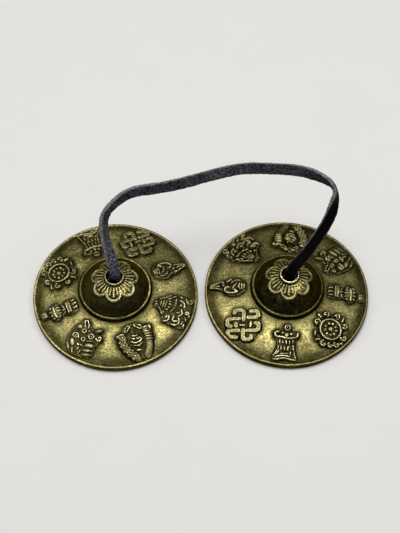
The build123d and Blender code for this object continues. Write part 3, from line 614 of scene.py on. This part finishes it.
def petal_relief(radius, angle):
    """Rosette on the dome: its height, its crowns from 0 to 1, and the distance to its edge."""
    spacing = 2.0 * math.pi / (4 * PETALS)
    half = [(r * math.sin(math.radians(a)), r * math.cos(math.radians(a))) for r, a in PETAL_OUTLINE]
    outline = half + [(-x, y) for x, y in reversed(half[:-1])]
    height = np.zeros(radius.shape)
    crown = np.zeros(radius.shape)
    edge = np.full(radius.shape, FAR)
    for number in range(PETALS):
        first = math.radians(FIRST_PETAL + number * 360.0 / PETALS)
        turn = np.angle(np.exp(1j * (angle - first)))
        near = (np.abs(turn) < PETAL_REACH) & (radius < ROSETTE_REACH)
        r, a = radius[near], turn[near]
        u, v = r * np.sin(a), r * np.cos(a)
        outside = outline_distance(u, v, outline + PETAL_FOOT) - PETAL_MARGIN
        fine = ridge(line_distance(u, v, outline), PETAL_STROKE)
        for place, reach in PETAL_RIBS:
            rib = ridge(r * np.abs(a - place * spacing), RIB_SHARE * spacing * r)
            fine = np.maximum(fine, rib * smoothstep(-reach - RIB_END[0], -reach + RIB_END[1], -r))
        rise = PETAL_HEIGHT * smoothstep(-PETAL_SOFT, PETAL_SOFT, -outside) + RIB_HEIGHT * fine
        height[near] = np.maximum(height[near], rise)
        crown[near] = np.maximum(crown[near], smoothstep(*PETAL_CROWN, fine))
        edge[near] = np.minimum(edge[near], outside)
    return height, crown, edge


def plate_top(radius):
    """Height of the plate's upper face."""
    return PLATE_START + PLATE_RISE * (PLATE_EDGE - radius) / (PLATE_EDGE - FOOT_RADIUS)


def arc(centre, size, first, last, steps):
    """Points and outward directions along an arc of the section, angles in degrees."""
    made = []
    for a in np.radians(np.linspace(first, last, steps)):
        c, s = math.cos(a), math.sin(a)
        made.append((centre[0] + size * c, centre[1] + size * s, c, s))
    return made


def straight(first, last, steps, direction):
    """Points along a straight stretch of the section, its two ends left out."""
    share = np.linspace(0.0, 1.0, steps + 2)[1:-1]
    return [
        (first[0] + t * (last[0] - first[0]), first[1] + t * (last[1] - first[1]), *direction)
        for t in share
    ]


def cymbal_section():
    """Closed section of a cymbal as rings: radius, height, direction, points round it and its zone."""
    rings = []

    def add(points, count, zone):
        rings.extend((*p, count, zone) for p in points)

    hole_edge = HOLE_RADIUS + HOLE_ROUND
    hole_low = DOME_CENTRE + math.sqrt(INSIDE_RADIUS**2 - hole_edge**2) + HOLE_WALL
    crest_low = COLLAR_TOP - COLLAR_CREST
    add(arc((hole_edge, hole_low), HOLE_ROUND, 250.0, 180.0, 5), ROUND, "hole")
    add(straight((HOLE_RADIUS, hole_low), (HOLE_RADIUS, crest_low), 4, (-1.0, 0.0)), ROUND, "hole")
    add(arc((HOLE_RADIUS + COLLAR_CREST, crest_low), COLLAR_CREST, 180.0, 0.0, 9), ROUND, "collar")
    foot_height = DOME_CENTRE + math.sqrt(DOME_RADIUS**2 - COLLAR_FOOT**2)
    add([(COLLAR_FOOT - 0.16, foot_height + 0.75, 0.97, 0.2)], ROUND, "foot")
    add([(COLLAR_FOOT - 0.02, foot_height + 0.28, 0.9, 0.4)], ROUND, "foot")
    first = math.degrees(math.acos((COLLAR_FOOT + 0.22) / DOME_RADIUS))
    last = math.degrees(math.acos(DOME_FOOT / DOME_RADIUS))
    bare = math.degrees(math.acos(ROSETTE_ZONE / DOME_RADIUS))
    add(arc((0.0, DOME_CENTRE), DOME_RADIUS, first, bare, 30)[:-1], ROUND, "dome")
    add(arc((0.0, DOME_CENTRE), DOME_RADIUS, bare, last, 10), ROUND, "dome")
    add(VALLEY, ROUND, "valley")
    add(arc(BEAD_PLACE, BEAD_SIZE, 160.0, 10.0, 9), ROUND, "bead")
    add(BEAD_FOOT, ROUND, "foot")
    slope = math.hypot(PLATE_RISE, PLATE_EDGE - FOOT_RADIUS)
    lean = (PLATE_RISE / slope, (PLATE_EDGE - FOOT_RADIUS) / slope)
    inner, outer = (PLATE_INNER, plate_top(PLATE_INNER)), (PLATE_EDGE, plate_top(PLATE_EDGE))
    add(straight(inner, outer, 78, lean), FINE, "plate")
    add([(PLATE_EDGE - 0.03, PLATE_START + 0.02, -0.5, 0.85)], FINE, "line")
    rim = arc((RIM_RADIUS - RIM_BEAD, 0.0), RIM_BEAD, 155.0, 0.0, 10)
    rim = [(x, EDGE_HEIGHT - RIM_CROWN + y * RIM_CROWN / RIM_BEAD, nx, ny) for x, y, nx, ny in rim]
    add(rim[:3], FINE, "edge")
    add(rim[3:6], FINE, "crest")
    add(rim[6:8], FINE, "edge")
    add(rim[8:], FINE, "wall")
    add(arc((RIM_RADIUS - RIM_ROUND, RIM_ROUND), RIM_ROUND, 0.0, -90.0, 5), ROUND, "wall")
    add([(REST_RADIUS + 0.05, 0.0, 0.0, -1.0), (REST_RADIUS - 0.12, 0.03, -0.1, -1.0)], ROUND, "under")
    inside_foot = math.sqrt(INSIDE_RADIUS**2 - (UNDERSIDE_RISE - DOME_CENTRE) ** 2)
    add(straight((REST_RADIUS, 0.0), (inside_foot, UNDERSIDE_RISE), 10, (-0.19, -0.98)), COARSE, "under")
    first = math.degrees(math.acos((inside_foot - 0.15) / INSIDE_RADIUS))
    last = math.degrees(math.acos((hole_edge + 0.35) / INSIDE_RADIUS))
    inside = arc((0.0, DOME_CENTRE), INSIDE_RADIUS, first, last, 16)
    add([(r, z, -nr, -nz) for r, z, nr, nz in inside], COARSE, "inside")
    return rings


def joined(low, count_low, high, count_high):
    """Faces between two neighbouring rings, which may differ by a factor of two in their points."""
    faces = []
    if count_low == count_high:
        for k in range(count_low):
            n = (k + 1) % count_low
            faces.append((low + k, high + k, high + n, low + n))
    elif count_high == 2 * count_low:
        for k in range(count_low):
            n = (k + 1) % count_low
            f0, f1, f2 = high + 2 * k, high + 2 * k + 1, high + (2 * k + 2) % count_high
            faces += [(low + k, f0, f1), (low + k, f1, low + n), (low + n, f1, f2)]
    else:
        faces = [face[::-1] for face in joined(high, count_high, low, count_low)]
    return faces


def hollows(height):
    """How far each place of a relief lies in a hollow and how far it stands up, both from 0 to 1."""
    soft = height
    for _ in range(BLUR_ROUNDS):
        padded = np.pad(soft, ((1, 1), (0, 0)), "edge")
        soft = (soft + np.roll(soft, 1, 1) + np.roll(soft, -1, 1) + padded[2:] + padded[:-2]) / 5.0
    step = (soft - height).ravel()
    return np.clip(step / HOLLOW_FULL, 0.0, 1.0), np.clip(-step / RAISED_FULL, 0.0, 1.0)


def casting():
    """Points in millimetres, faces and attributes of one cymbal on the Z axis."""
    rings = cymbal_section()
    starts, points, zones = [], [], []
    for r, z, nr, nz, count, zone in rings:
        starts.append(sum(len(p) for p in points))
        angle = np.arange(count) * 2.0 * math.pi / count
        points.append(np.column_stack([np.tile((r, z, nr, nz), (count, 1)), angle]))
        zones += [zone] * count
    faces = []
    for i, ring in enumerate(rings):
        j = (i + 1) % len(rings)
        faces += joined(starts[i], ring[4], starts[j], rings[j][4])
    r, z, nr, nz, angle = np.concatenate(points).T
    zone = np.array(zones)
    plate = (zone == "plate") | (zone == "line")
    height, crown, edge = symbol_relief(np.where(plate, r, 0.0), angle)
    petal, ribs, petal_edge = petal_relief(np.where(zone == "dome", r, 99.0), angle)
    lift = np.where(plate, height, 0.0) + np.where(zone == "dome", petal, 0.0)
    x = r + lift * nr
    flat = np.stack([x * np.cos(angle), x * np.sin(angle), z + lift * nz], 1)

    hollow, raised = np.zeros(r.shape), np.zeros(r.shape)
    for name, count in (("plate", FINE), ("dome", ROUND)):
        here = zone == name
        hollow[here], raised[here] = hollows(lift[here].reshape(-1, count))
    outside = np.maximum(edge, 0.0)
    dirt_and_shade = np.maximum.reduce([
        # Darker round each symbol's foot: tarnish and painted shade
        np.where(edge < 0.0, SYMBOL_DIRT, AROUND_DIRT_AND_SHADE * fading(outside, AROUND_REACH)),
        hollow,
        # Darker on the plate beside the bead: tarnish and painted shade
        BEAD_DIRT_AND_SHADE * fading(r - FOOT_RADIUS, BEAD_REACH),
        fading(r - PLATE_EDGE, LINE_REACH),
        OUTER_DIRT * smoothstep(*OUTER_RADII, r),
    ])
    high = np.maximum(crown, raised)
    grime_and_shade = np.where(plate, dirt_and_shade * (1.0 - high), 0.0)
    wear_and_highlight = np.where(plate, PLATE_WEAR * high, 0.0)
    rubbed_and_highlight = smoothstep(*RUBBED_AWAY, outside) * smoothstep(*RUBBED_INNER, r)
    rubbed_and_highlight = rubbed_and_highlight * smoothstep(-RUBBED_OUTER[1], -RUBBED_OUTER[0], -r)
    rubbed_and_highlight = np.where(plate, rubbed_and_highlight, 0.0)
    rosette = smoothstep(-0.1, 0.35, -petal_edge)
    # Darker round the rosette's foot: tarnish and painted shade
    petal_foot = fading(np.maximum(petal_edge, 0.0), PETAL_DIRT_AND_SHADE_REACH)
    rosette_dirt_and_shade = np.maximum(ROSETTE_DIRT, hollow) * rosette
    rosette_dirt_and_shade += (1.0 - rosette) * (DOME_DIRT + (1.0 - DOME_DIRT) * petal_foot)
    ribs = np.maximum(ribs, raised * rosette)
    grime_and_shade = np.where(zone == "dome", rosette_dirt_and_shade * (1.0 - ribs), grime_and_shade)
    wear_and_highlight = np.where(zone == "dome", DOME_WEAR * ribs, wear_and_highlight)
    rubbed_and_highlight = np.where(zone == "dome", rosette, rubbed_and_highlight)
    # Zone values: the rim's wall gets painted shade, the bead's foot tarnish and painted shade
    for name, (worn_and_lit, patchy, dark) in ZONES.items():
        wear_and_highlight = np.where(zone == name, worn_and_lit, wear_and_highlight)
        rubbed_and_highlight = np.where(zone == name, patchy, rubbed_and_highlight)
        grime_and_shade = np.where(zone == name, dark, grime_and_shade)
    return flat, faces, {"wear_and_highlight": wear_and_highlight, "rubbed_and_highlight": rubbed_and_highlight, "grime_and_shade": grime_and_shade, "turned": r}


class Nodes:
    """The nodes of a material or world, and short ways to add to them."""

    def __init__(self, owner, shader="Principled BSDF"):
        owner.use_nodes = True
        self.owner = owner
        self.tree = owner.node_tree
        self.shader = self.tree.nodes[shader]

    def feed(self, socket, value):
        """Link a socket to another one, or set its constant."""
        if isinstance(value, bpy.types.NodeSocket):
            self.tree.links.new(value, socket)
        else:
            socket.default_value = value

    def put(self, key, value):
        """Link or set one of the shader's own sockets."""
        self.feed(self.shader.inputs[key], value)

    def node(self, kind, inputs, **settings):
        """New node with its settings and inputs."""
        node = self.tree.nodes.new(kind)
        for key, value in settings.items():
            setattr(node, key, value)
        for key, value in inputs.items():
            self.feed(node.inputs[key], value)
        return node

    def place(self):
        return self.node("ShaderNodeTexCoord", {}).outputs["Object"]

    def attribute(self, name):
        return self.node("ShaderNodeAttribute", {}, attribute_name=name).outputs["Fac"]

    def mix(self, factor, first, second):
        """Colour mix of two sockets or colours."""
        inputs = {"Factor": factor, 6: first, 7: second}
        return self.node("ShaderNodeMix", inputs, data_type="RGBA").outputs[2]

    def math(self, operation, *values, clamp=False):
        """Arithmetic on sockets or numbers."""
        inputs = dict(enumerate(values))
        return self.node("ShaderNodeMath", inputs, operation=operation, use_clamp=clamp).outputs[0]

    def noise(self, vector, scale, detail, roughness):
        """Value of a noise texture on a vector."""
        inputs = {"Vector": vector, "Scale": scale, "Detail": detail, "Roughness": roughness}
        return self.node("ShaderNodeTexNoise", inputs).outputs["Fac"]

    def spread(self, value, low, high, to_low=0.0, to_high=1.0):
        """Value moved from one range to another, clamped."""
        inputs = {"Value": value, "From Min": low, "From Max": high, "To Min": to_low, "To Max": to_high}
        return self.node("ShaderNodeMapRange", inputs, clamp=True).outputs["Result"]

    def bump(self, height, distance):
        """Bump on the shader from a height."""
        inputs = {"Strength": BUMP_STRENGTH, "Distance": distance, "Height": height}
        self.put("Normal", self.node("ShaderNodeBump", inputs).outputs["Normal"])


def brass_material():
    """Cast brass with dark patina in the recesses and rubbed high spots, with painted shade round the
    relief and on the rim's wall, and painted highlights on the worn and rubbed places.
    """
    net = Nodes(bpy.data.materials.new("aged_brass"))
    place = net.place()
    # The wear also carries painted highlight
    worn_and_lit = net.attribute("wear_and_highlight")
    # The grime also carries painted shade
    dark = net.attribute("grime_and_shade")
    rubbed_and_highlight = net.attribute("rubbed_and_highlight")
    turned = net.attribute("turned")
    big = net.noise(place, 120.0, 5.0, 0.6)
    middle = net.noise(place, 620.0, 5.0, 0.6)
    fine = net.noise(place, 2600.0, 3.0, 0.6)
    marks = {"W": turned, "Scale": 3.2, "Detail": 4.0}
    rings = net.node("ShaderNodeTexNoise", marks, noise_dimensions="1D").outputs["Fac"]

    blotch = net.spread(big, 0.36, 0.62)
    grain = net.noise(place, 1500.0, 3.0, 0.65)
    speck = net.spread(net.math("MULTIPLY_ADD", fine, 0.6, grain), 0.68, 0.92)
    patch = net.spread(net.noise(place, 110.0, 7.0, 0.72), 0.38, 0.62, 0.22, 1.0)
    base = net.mix(blotch, BRASS["dull"], BRASS["clear"])
    base = net.mix(net.math("MULTIPLY", speck, 0.72), base, BRASS["speck"])
    worn_off = net.spread(grain, 0.42, 0.57, 1.0, 0.25)
    # Rubbed brass, partly painted highlight
    rub_and_highlight = net.math("MULTIPLY", net.math("MULTIPLY", rubbed_and_highlight, patch), worn_off)
    base = net.mix(rub_and_highlight, base, BRASS["rubbed_and_highlight"])
    crest = net.math("MULTIPLY", worn_and_lit, net.spread(middle, 0.28, 0.55, 0.55, 1.0))
    base = net.mix(crest, base, BRASS["crown"])
    # Pale where the crowns are brightest: painted highlight
    painted_highlight = net.spread(crest, 0.60, 0.90, 0.0, 0.9)
    base = net.mix(painted_highlight, base, BRASS["painted_highlight"])
    # Tarnish and painted shade
    shade_and_grime_mask = net.math("MULTIPLY", dark, net.spread(middle, 0.3, 0.62, 1.1, 0.74), clamp=True)
    scuff = net.spread(net.noise(place, 420.0, 5.0, 0.7), 0.56, 0.68, 1.0, 0.4)
    clear = net.math("MULTIPLY_ADD", rub_and_highlight, -0.9, 1.0, clamp=True)
    shade_and_grime_mask = net.math("MULTIPLY", shade_and_grime_mask, net.math("MULTIPLY", scuff, clear))
    base = net.mix(shade_and_grime_mask, base, BRASS["tarnish_and_shade"])
    net.put("Base Color", base)

    net.put("Metallic", 1.0)
    net.put("Specular Tint", BRASS["gleam"])
    rough = net.spread(big, 0.3, 0.7, 0.36, 0.26)
    rough = net.math("SUBTRACT", rough, net.math("MULTIPLY", worn_and_lit, 0.10))
    rough = net.math("ADD", rough, net.math("MULTIPLY", shade_and_grime_mask, 0.14))
    rough = net.math("ADD", rough, net.spread(fine, 0.3, 0.7, -0.05, 0.05), clamp=True)
    net.put("Roughness", rough)

    height = net.math("MULTIPLY_ADD", fine, 0.35, middle)
    height = net.math("MULTIPLY_ADD", grain, 0.6, height)
    height = net.math("MULTIPLY_ADD", rings, 0.35, height)
    net.bump(height, 0.00045)
    return net.owner


def leather_material():
    """Thong leather: grey suede on one face, black grain on the other, pale cut edges."""
    net = Nodes(bpy.data.materials.new("thong_leather"))
    place = net.place()
    suede = net.attribute("suede")
    edge = net.attribute("edge")
    dusty = net.attribute("dusty")
    nap = net.noise(place, 1300.0, 6.0, 0.75)
    fine = net.noise(place, 4200.0, 3.0, 0.6)
    big = net.noise(place, 260.0, 3.0, 0.5)

    fleck = net.spread(nap, 0.44, 0.62)
    flesh = net.mix(fleck, LEATHER["nap_dark"], LEATHER["nap"])
    pale = net.mix(fleck, LEATHER["dust_dark"], LEATHER["dust"])
    flesh = net.mix(dusty, flesh, pale)
    flesh = net.mix(net.spread(big, 0.35, 0.65, 0.0, 0.45), flesh, LEATHER["smooth"])
    pore = net.spread(fine, 0.35, 0.65)
    grain = net.mix(pore, LEATHER["pore"], LEATHER["grain"])
    colour = net.mix(suede, grain, flesh)
    cut = net.mix(fleck, LEATHER["cut_dark"], LEATHER["cut"])
    colour = net.mix(edge, colour, cut)
    net.put("Base Color", colour)
    rough = net.math("MULTIPLY_ADD", net.math("MAXIMUM", suede, edge), 0.32, 0.6)
    net.put("Roughness", rough)
    net.put("Specular IOR Level", 0.05)

    rise = net.math("MULTIPLY", nap, net.math("MULTIPLY_ADD", suede, 0.8, 0.2))
    rise = net.math("MULTIPLY_ADD", fine, 0.3, rise)
    net.bump(rise, 0.0002)
    return net.owner


def strap_section():
    """Rounded section of the thong about its middle: places, and shares of suede and of cut edge."""
    half_w, half_t = STRAP_WIDTH / 2, STRAP_THICKNESS / 2
    corner, cut = STRAP_CORNER, 0.3 * STRAP_CORNER
    places, suede, edge = [], [], []

    def add(a, b, s, e):
        places.append((a, b))
        suede.append(s)
        edge.append(e)

    upper, lower = (0.6, 0.7), (0.0, 0.5)
    for sign, face, near, far in ((1.0, 1.0, upper, lower), (-1.0, 0.0, lower, upper)):
        for share in np.linspace(-1.0, 1.0, 9):
            add(sign * share * (half_w - corner), sign * half_t, face, 0.0)
        add(sign * (half_w - cut), sign * (half_t - cut), *near)
        for share in (1.0, 0.0, -1.0):
            add(sign * half_w, sign * share * (half_t - corner), 0.0, 1.0)
        add(sign * (half_w - cut), -sign * (half_t - cut), *far)
    return places, suede, edge


def ribbon(name, points, sides, material, wobble=0.0, dusty=0.3, cut=1.0):
    """Flat thong along points; sides is the direction of its width, one for all or one for each."""
    seeded = np.random.default_rng(FUZZ_SEED)
    points = np.asarray(points, float)
    count = len(points)
    along = unit(np.gradient(points, axis=0))
    sides = np.asarray(sides, float)
    sides = unit(sides - along * np.sum(sides * along, axis=1)[:, None])
    faces_out = np.cross(sides, along)
    places, suede, edge = strap_section()
    size = len(places)
    made = np.zeros((count, size, 3))
    for k, (a, b) in enumerate(places):
        t = np.arange(count)
        swell = 1.0 + wobble * sum(0.5 * np.sin(p * t + q * k) for p, q in STRAP_WAVES)
        fuzz = wobble * STRAP_FUZZ * seeded.normal(size=(2, count))
        made[:, k] = points + sides * (a * swell + fuzz[0])[:, None]
        made[:, k] += faces_out * (b * swell + fuzz[1])[:, None]
    faces = []
    for i in range(count - 1):
        for k in range(size):
            n = (k + 1) % size
            faces.append((i * size + k, i * size + n, (i + 1) * size + n, (i + 1) * size + k))
    faces.append(tuple(range(size))[::-1])
    faces.append(tuple((count - 1) * size + k for k in range(size)))
    shares = {
        "suede": np.tile(suede, count),
        "edge": np.tile(edge, count) * np.repeat(np.broadcast_to(cut, count), size),
        "dusty": np.repeat(np.broadcast_to(dusty, count), size),
    }
    return mesh_object(name, made.reshape(-1, 3), faces, material, attributes=shares)


def route_points():
    """Points along the thong's route, read from its smooth spline."""
    data = bpy.data.curves.new("route", "CURVE")
    data.dimensions = "3D"
    data.resolution_u = 16
    spline = data.splines.new("NURBS")
    spline.points.add(len(ROUTE) - 1)
    for point, place in zip(spline.points, ROUTE):
        point.co = (*place, 1.0)
    spline.order_u = 3
    spline.use_endpoint_u = True
    obj = linked("route", data)
    bpy.context.view_layer.update()
    graph = bpy.context.evaluated_depsgraph_get()
    mesh = bpy.data.meshes.new_from_object(obj.evaluated_get(graph))
    points = np.array([v.co for v in mesh.vertices], float)
    bpy.data.meshes.remove(mesh)
    bpy.data.objects.remove(obj)
    return points


def strap_sides(points, share):
    """Direction of the thong's width along its route: one slow half turn from hole to hole."""
    turns, where = [t for _, t in STRAP_TURN], [s for s, _ in STRAP_TURN]
    along = unit(np.gradient(points, axis=0))
    view = unit(np.array(CAMERA_PLACE) - points)
    across = unit(np.cross(along, view))
    front = np.cross(across, along)
    angle = np.radians(np.interp(share, where, turns))
    kernel = np.hanning(TURN_BLUR)
    kernel /= kernel.sum()
    angle = np.convolve(np.pad(angle, TURN_BLUR // 2, "edge"), kernel, "valid")
    return across * np.cos(angle)[:, None] + front * np.sin(angle)[:, None]


def make_thong(material):
    """The free stretch of the thong."""
    points = route_points()
    share = np.concatenate([[0.0], np.cumsum(np.linalg.norm(np.diff(points, axis=0), axis=1))])
    length = share[-1]
    share = share / length
    sides = strap_sides(points, share)
    dusty = np.interp(share, DUST_PLACES, DUST)
    # Cut edges painted darker near the holes: painted shade
    cut = np.interp(share, CUT_PLACES, CUT_SHADING)
    strap = ribbon("strap_thong", points, sides, material, wobble=0.03, dusty=dusty, cut=cut)
    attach(strap, "thong")
    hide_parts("strap")
    return strap, points, length


def make_stopper(side, material):
    """Neck, knot and cut tail under one dome."""
    x = -CYMBAL_X * MM if side == "left" else CYMBAL_X * MM
    flat = np.array(LEFT_FLAT if side == "left" else RIGHT_FLAT)
    level = np.array((-flat[1], flat[0], 0.0))
    up = np.array((0.0, 0.0, 1.0))
    body = side + "_stopper"

    heights = np.linspace(FOLD_HEIGHT + NECK_ABOVE, KNOT_MIDDLE, 14)
    # Cut edges of the neck painted dark: painted shade under the dome
    neck = ribbon(side + "_neck", [(x, 0.0, z) for z in heights], flat, material, cut=CUT_SHADING[0])
    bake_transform(neck)

    middle = np.array((x, 0.0, KNOT_MIDDLE))
    turn = np.radians(np.linspace(*WRAP_TURN, WRAP_STEPS))
    reach = np.linspace(*WRAP_REACH, WRAP_STEPS)
    wrap = [
        middle + flat * (q * math.cos(t)) + level * (q * math.sin(t)) + up * (WRAP_WAVE * math.sin(t + 0.4))
        for t, q in zip(turn, reach)
    ]
    knot = ribbon(side + "_knot_wrap", wrap, up, material, wobble=0.03)
    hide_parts(side + "_knot")

    bend = np.radians(np.linspace(*LOOP_TURN, LOOP_STEPS))
    loop = [
        middle + flat * (LOOP_WIDE * math.cos(t)) + up * (LOOP_TALL * math.sin(t) - LOOP_DROP)
        for t in bend
    ]
    under = ribbon(side + "_knot_loop", loop, level, material, wobble=0.02)

    tail_turn = math.radians(TAIL_TURN[side])
    out = np.array((math.cos(tail_turn), math.sin(tail_turn), 0.0))
    wide = np.array((-out[1], out[0], 0.0))
    start = np.array((x, 0.0, KNOT_MIDDLE - TAIL_DROP))
    share = np.linspace(0.0, 1.0, 24)
    line = [start + out * (TAIL_START + TAIL_LENGTH * t) - up * (TAIL_SAG * t * t) for t in share]
    tail = ribbon(side + "_tail_end", line, wide, material, wobble=0.03)
    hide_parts(side + "_tail")

    for piece in (knot, under, tail):
        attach(piece, body)
    return [neck, knot, under, tail]


def make_cymbals(material):
    """Both cymbals, one casting turned on its axis for the right one."""
    points, faces, attributes = casting()
    for side, x, pattern in (("left", -CYMBAL_X, 0.0), ("right", CYMBAL_X, PATTERN_TURN)):
        c, s = math.cos(math.radians(pattern)), math.sin(math.radians(pattern))
        placed = np.stack(
            [points[:, 0] * c - points[:, 1] * s + x, points[:, 0] * s + points[:, 1] * c, points[:, 2]], 1
        )
        rubbed_and_highlight, tarnish_and_shade, rim_lit_side, bead_lit_side, rosette, collar = PATINA_AND_HIGHLIGHT[side]
        turned = attributes["turned"]
        angle = np.arctan2(placed[:, 1], placed[:, 0] - x)
        rub_and_highlight_spots = np.where(turned < BEAD_INNER, 0.0, rubbed_and_highlight)
        # Rubbed spots, partly painted highlight
        for spot_x, spot_y, size, strength in RUBBED_AND_HIGHLIGHT_SPOTS[side]:
            away = np.hypot(placed[:, 0] - x - spot_x, placed[:, 1] - spot_y)
            rub_and_highlight_spots = np.maximum(rub_and_highlight_spots, strength * fading(away, size))
        bead = (turned > BEAD_INNER) & (turned < FOOT_RADIUS)
        # Rim and bead painted brighter towards their lit sides: painted highlight
        lean = np.where(turned > PLATE_EDGE, np.cos(angle - math.radians(rim_lit_side)), 0.0)
        lean = np.where(bead, np.cos(angle - math.radians(bead_lit_side)), lean)
        # Rosette wear painted brighter towards its lit side: painted highlight
        turn = rosette * (1.0 + ROSETTE_HIGHLIGHT_LEAN * np.cos(angle - ROSETTE_LIT_SIDE))
        # Symbol crowns painted brighter towards the front: painted highlight
        level = np.where(turned < DOME_OUTER, turn, CROWN_LEVEL - CROWN_HIGHLIGHT_LEAN * np.sin(angle))
        level = np.where(turned < COLLAR_FOOT, collar, level)
        own = dict(
            attributes,
            rubbed_and_highlight=attributes["rubbed_and_highlight"] * rub_and_highlight_spots * (1.0 + RIM_HIGHLIGHT_LEAN * lean),
            grime_and_shade=np.minimum(1.0, attributes["grime_and_shade"] * tarnish_and_shade),
            wear_and_highlight=attributes["wear_and_highlight"] * level,
        )
        obj = mesh_object(side + "_cymbal_cast", placed * MM, faces, material, attributes=own)
        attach(obj, side + "_plate")
        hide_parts(side + "_cymbal")


def floor_material():
    """Plain pale paper."""
    net = Nodes(bpy.data.materials.new("floor_paper"))
    place = net.place()
    tone = net.noise(place, 40.0, 3.0, 0.5)
    colour = net.mix(tone, (0.80, 0.79, 0.77, 1), (0.83, 0.82, 0.80, 1))
    net.put("Base Color", colour)
    net.put("Roughness", 0.85)
    net.put("Specular IOR Level", 0.2)
    return net.owner


def make_stage():
    """Floor, soft lights and a dim surround."""
    ends = ((-1, -1), (1, -1), (1, 1), (-1, 1))
    corners = [(x * FLOOR_SIZE, y * FLOOR_SIZE, FLOOR_HEIGHT) for x, y in ends]
    floor = mesh_object("floor", corners, [(0, 1, 2, 3)], floor_material(), smooth=False)
    for name, (place, across, power) in LIGHTS.items():
        data = bpy.data.lights.new(name, "AREA")
        data.shape = "SQUARE"
        data.size = across
        data.energy = power
        light = linked(name, data)
        light.location = place
        light.rotation_euler = (-Vector(place)).to_track_quat("-Z", "Y").to_euler()
    net = Nodes(bpy.data.worlds.new("surround"), "Background")
    way = net.node("ShaderNodeTexCoord", {}).outputs["Generated"]
    inputs = {0: way, 1: Vector(SKY_MIDDLE).normalized()}
    lean = net.node("ShaderNodeVectorMath", inputs, operation="DOT_PRODUCT").outputs["Value"]
    inputs = {"Value": lean, "From Min": SKY_EDGE, "From Max": 1.0, "To Min": SKY_DIM, "To Max": SKY_BRIGHT}
    rise = net.node("ShaderNodeMapRange", inputs, interpolation_type="SMOOTHSTEP")
    net.put("Strength", rise.outputs["Result"])
    net.put("Color", (1.0, 0.99, 0.96, 1.0))
    bpy.context.scene.world = net.owner
    bpy.context.scene.view_settings.view_transform = "Standard"


make_camera()
leather = leather_material()
brass = brass_material()
strap, centre_line, strap_length = make_thong(leather)
small = make_stopper("left", leather) + make_stopper("right", leather)
make_cymbals(brass)
make_stage()
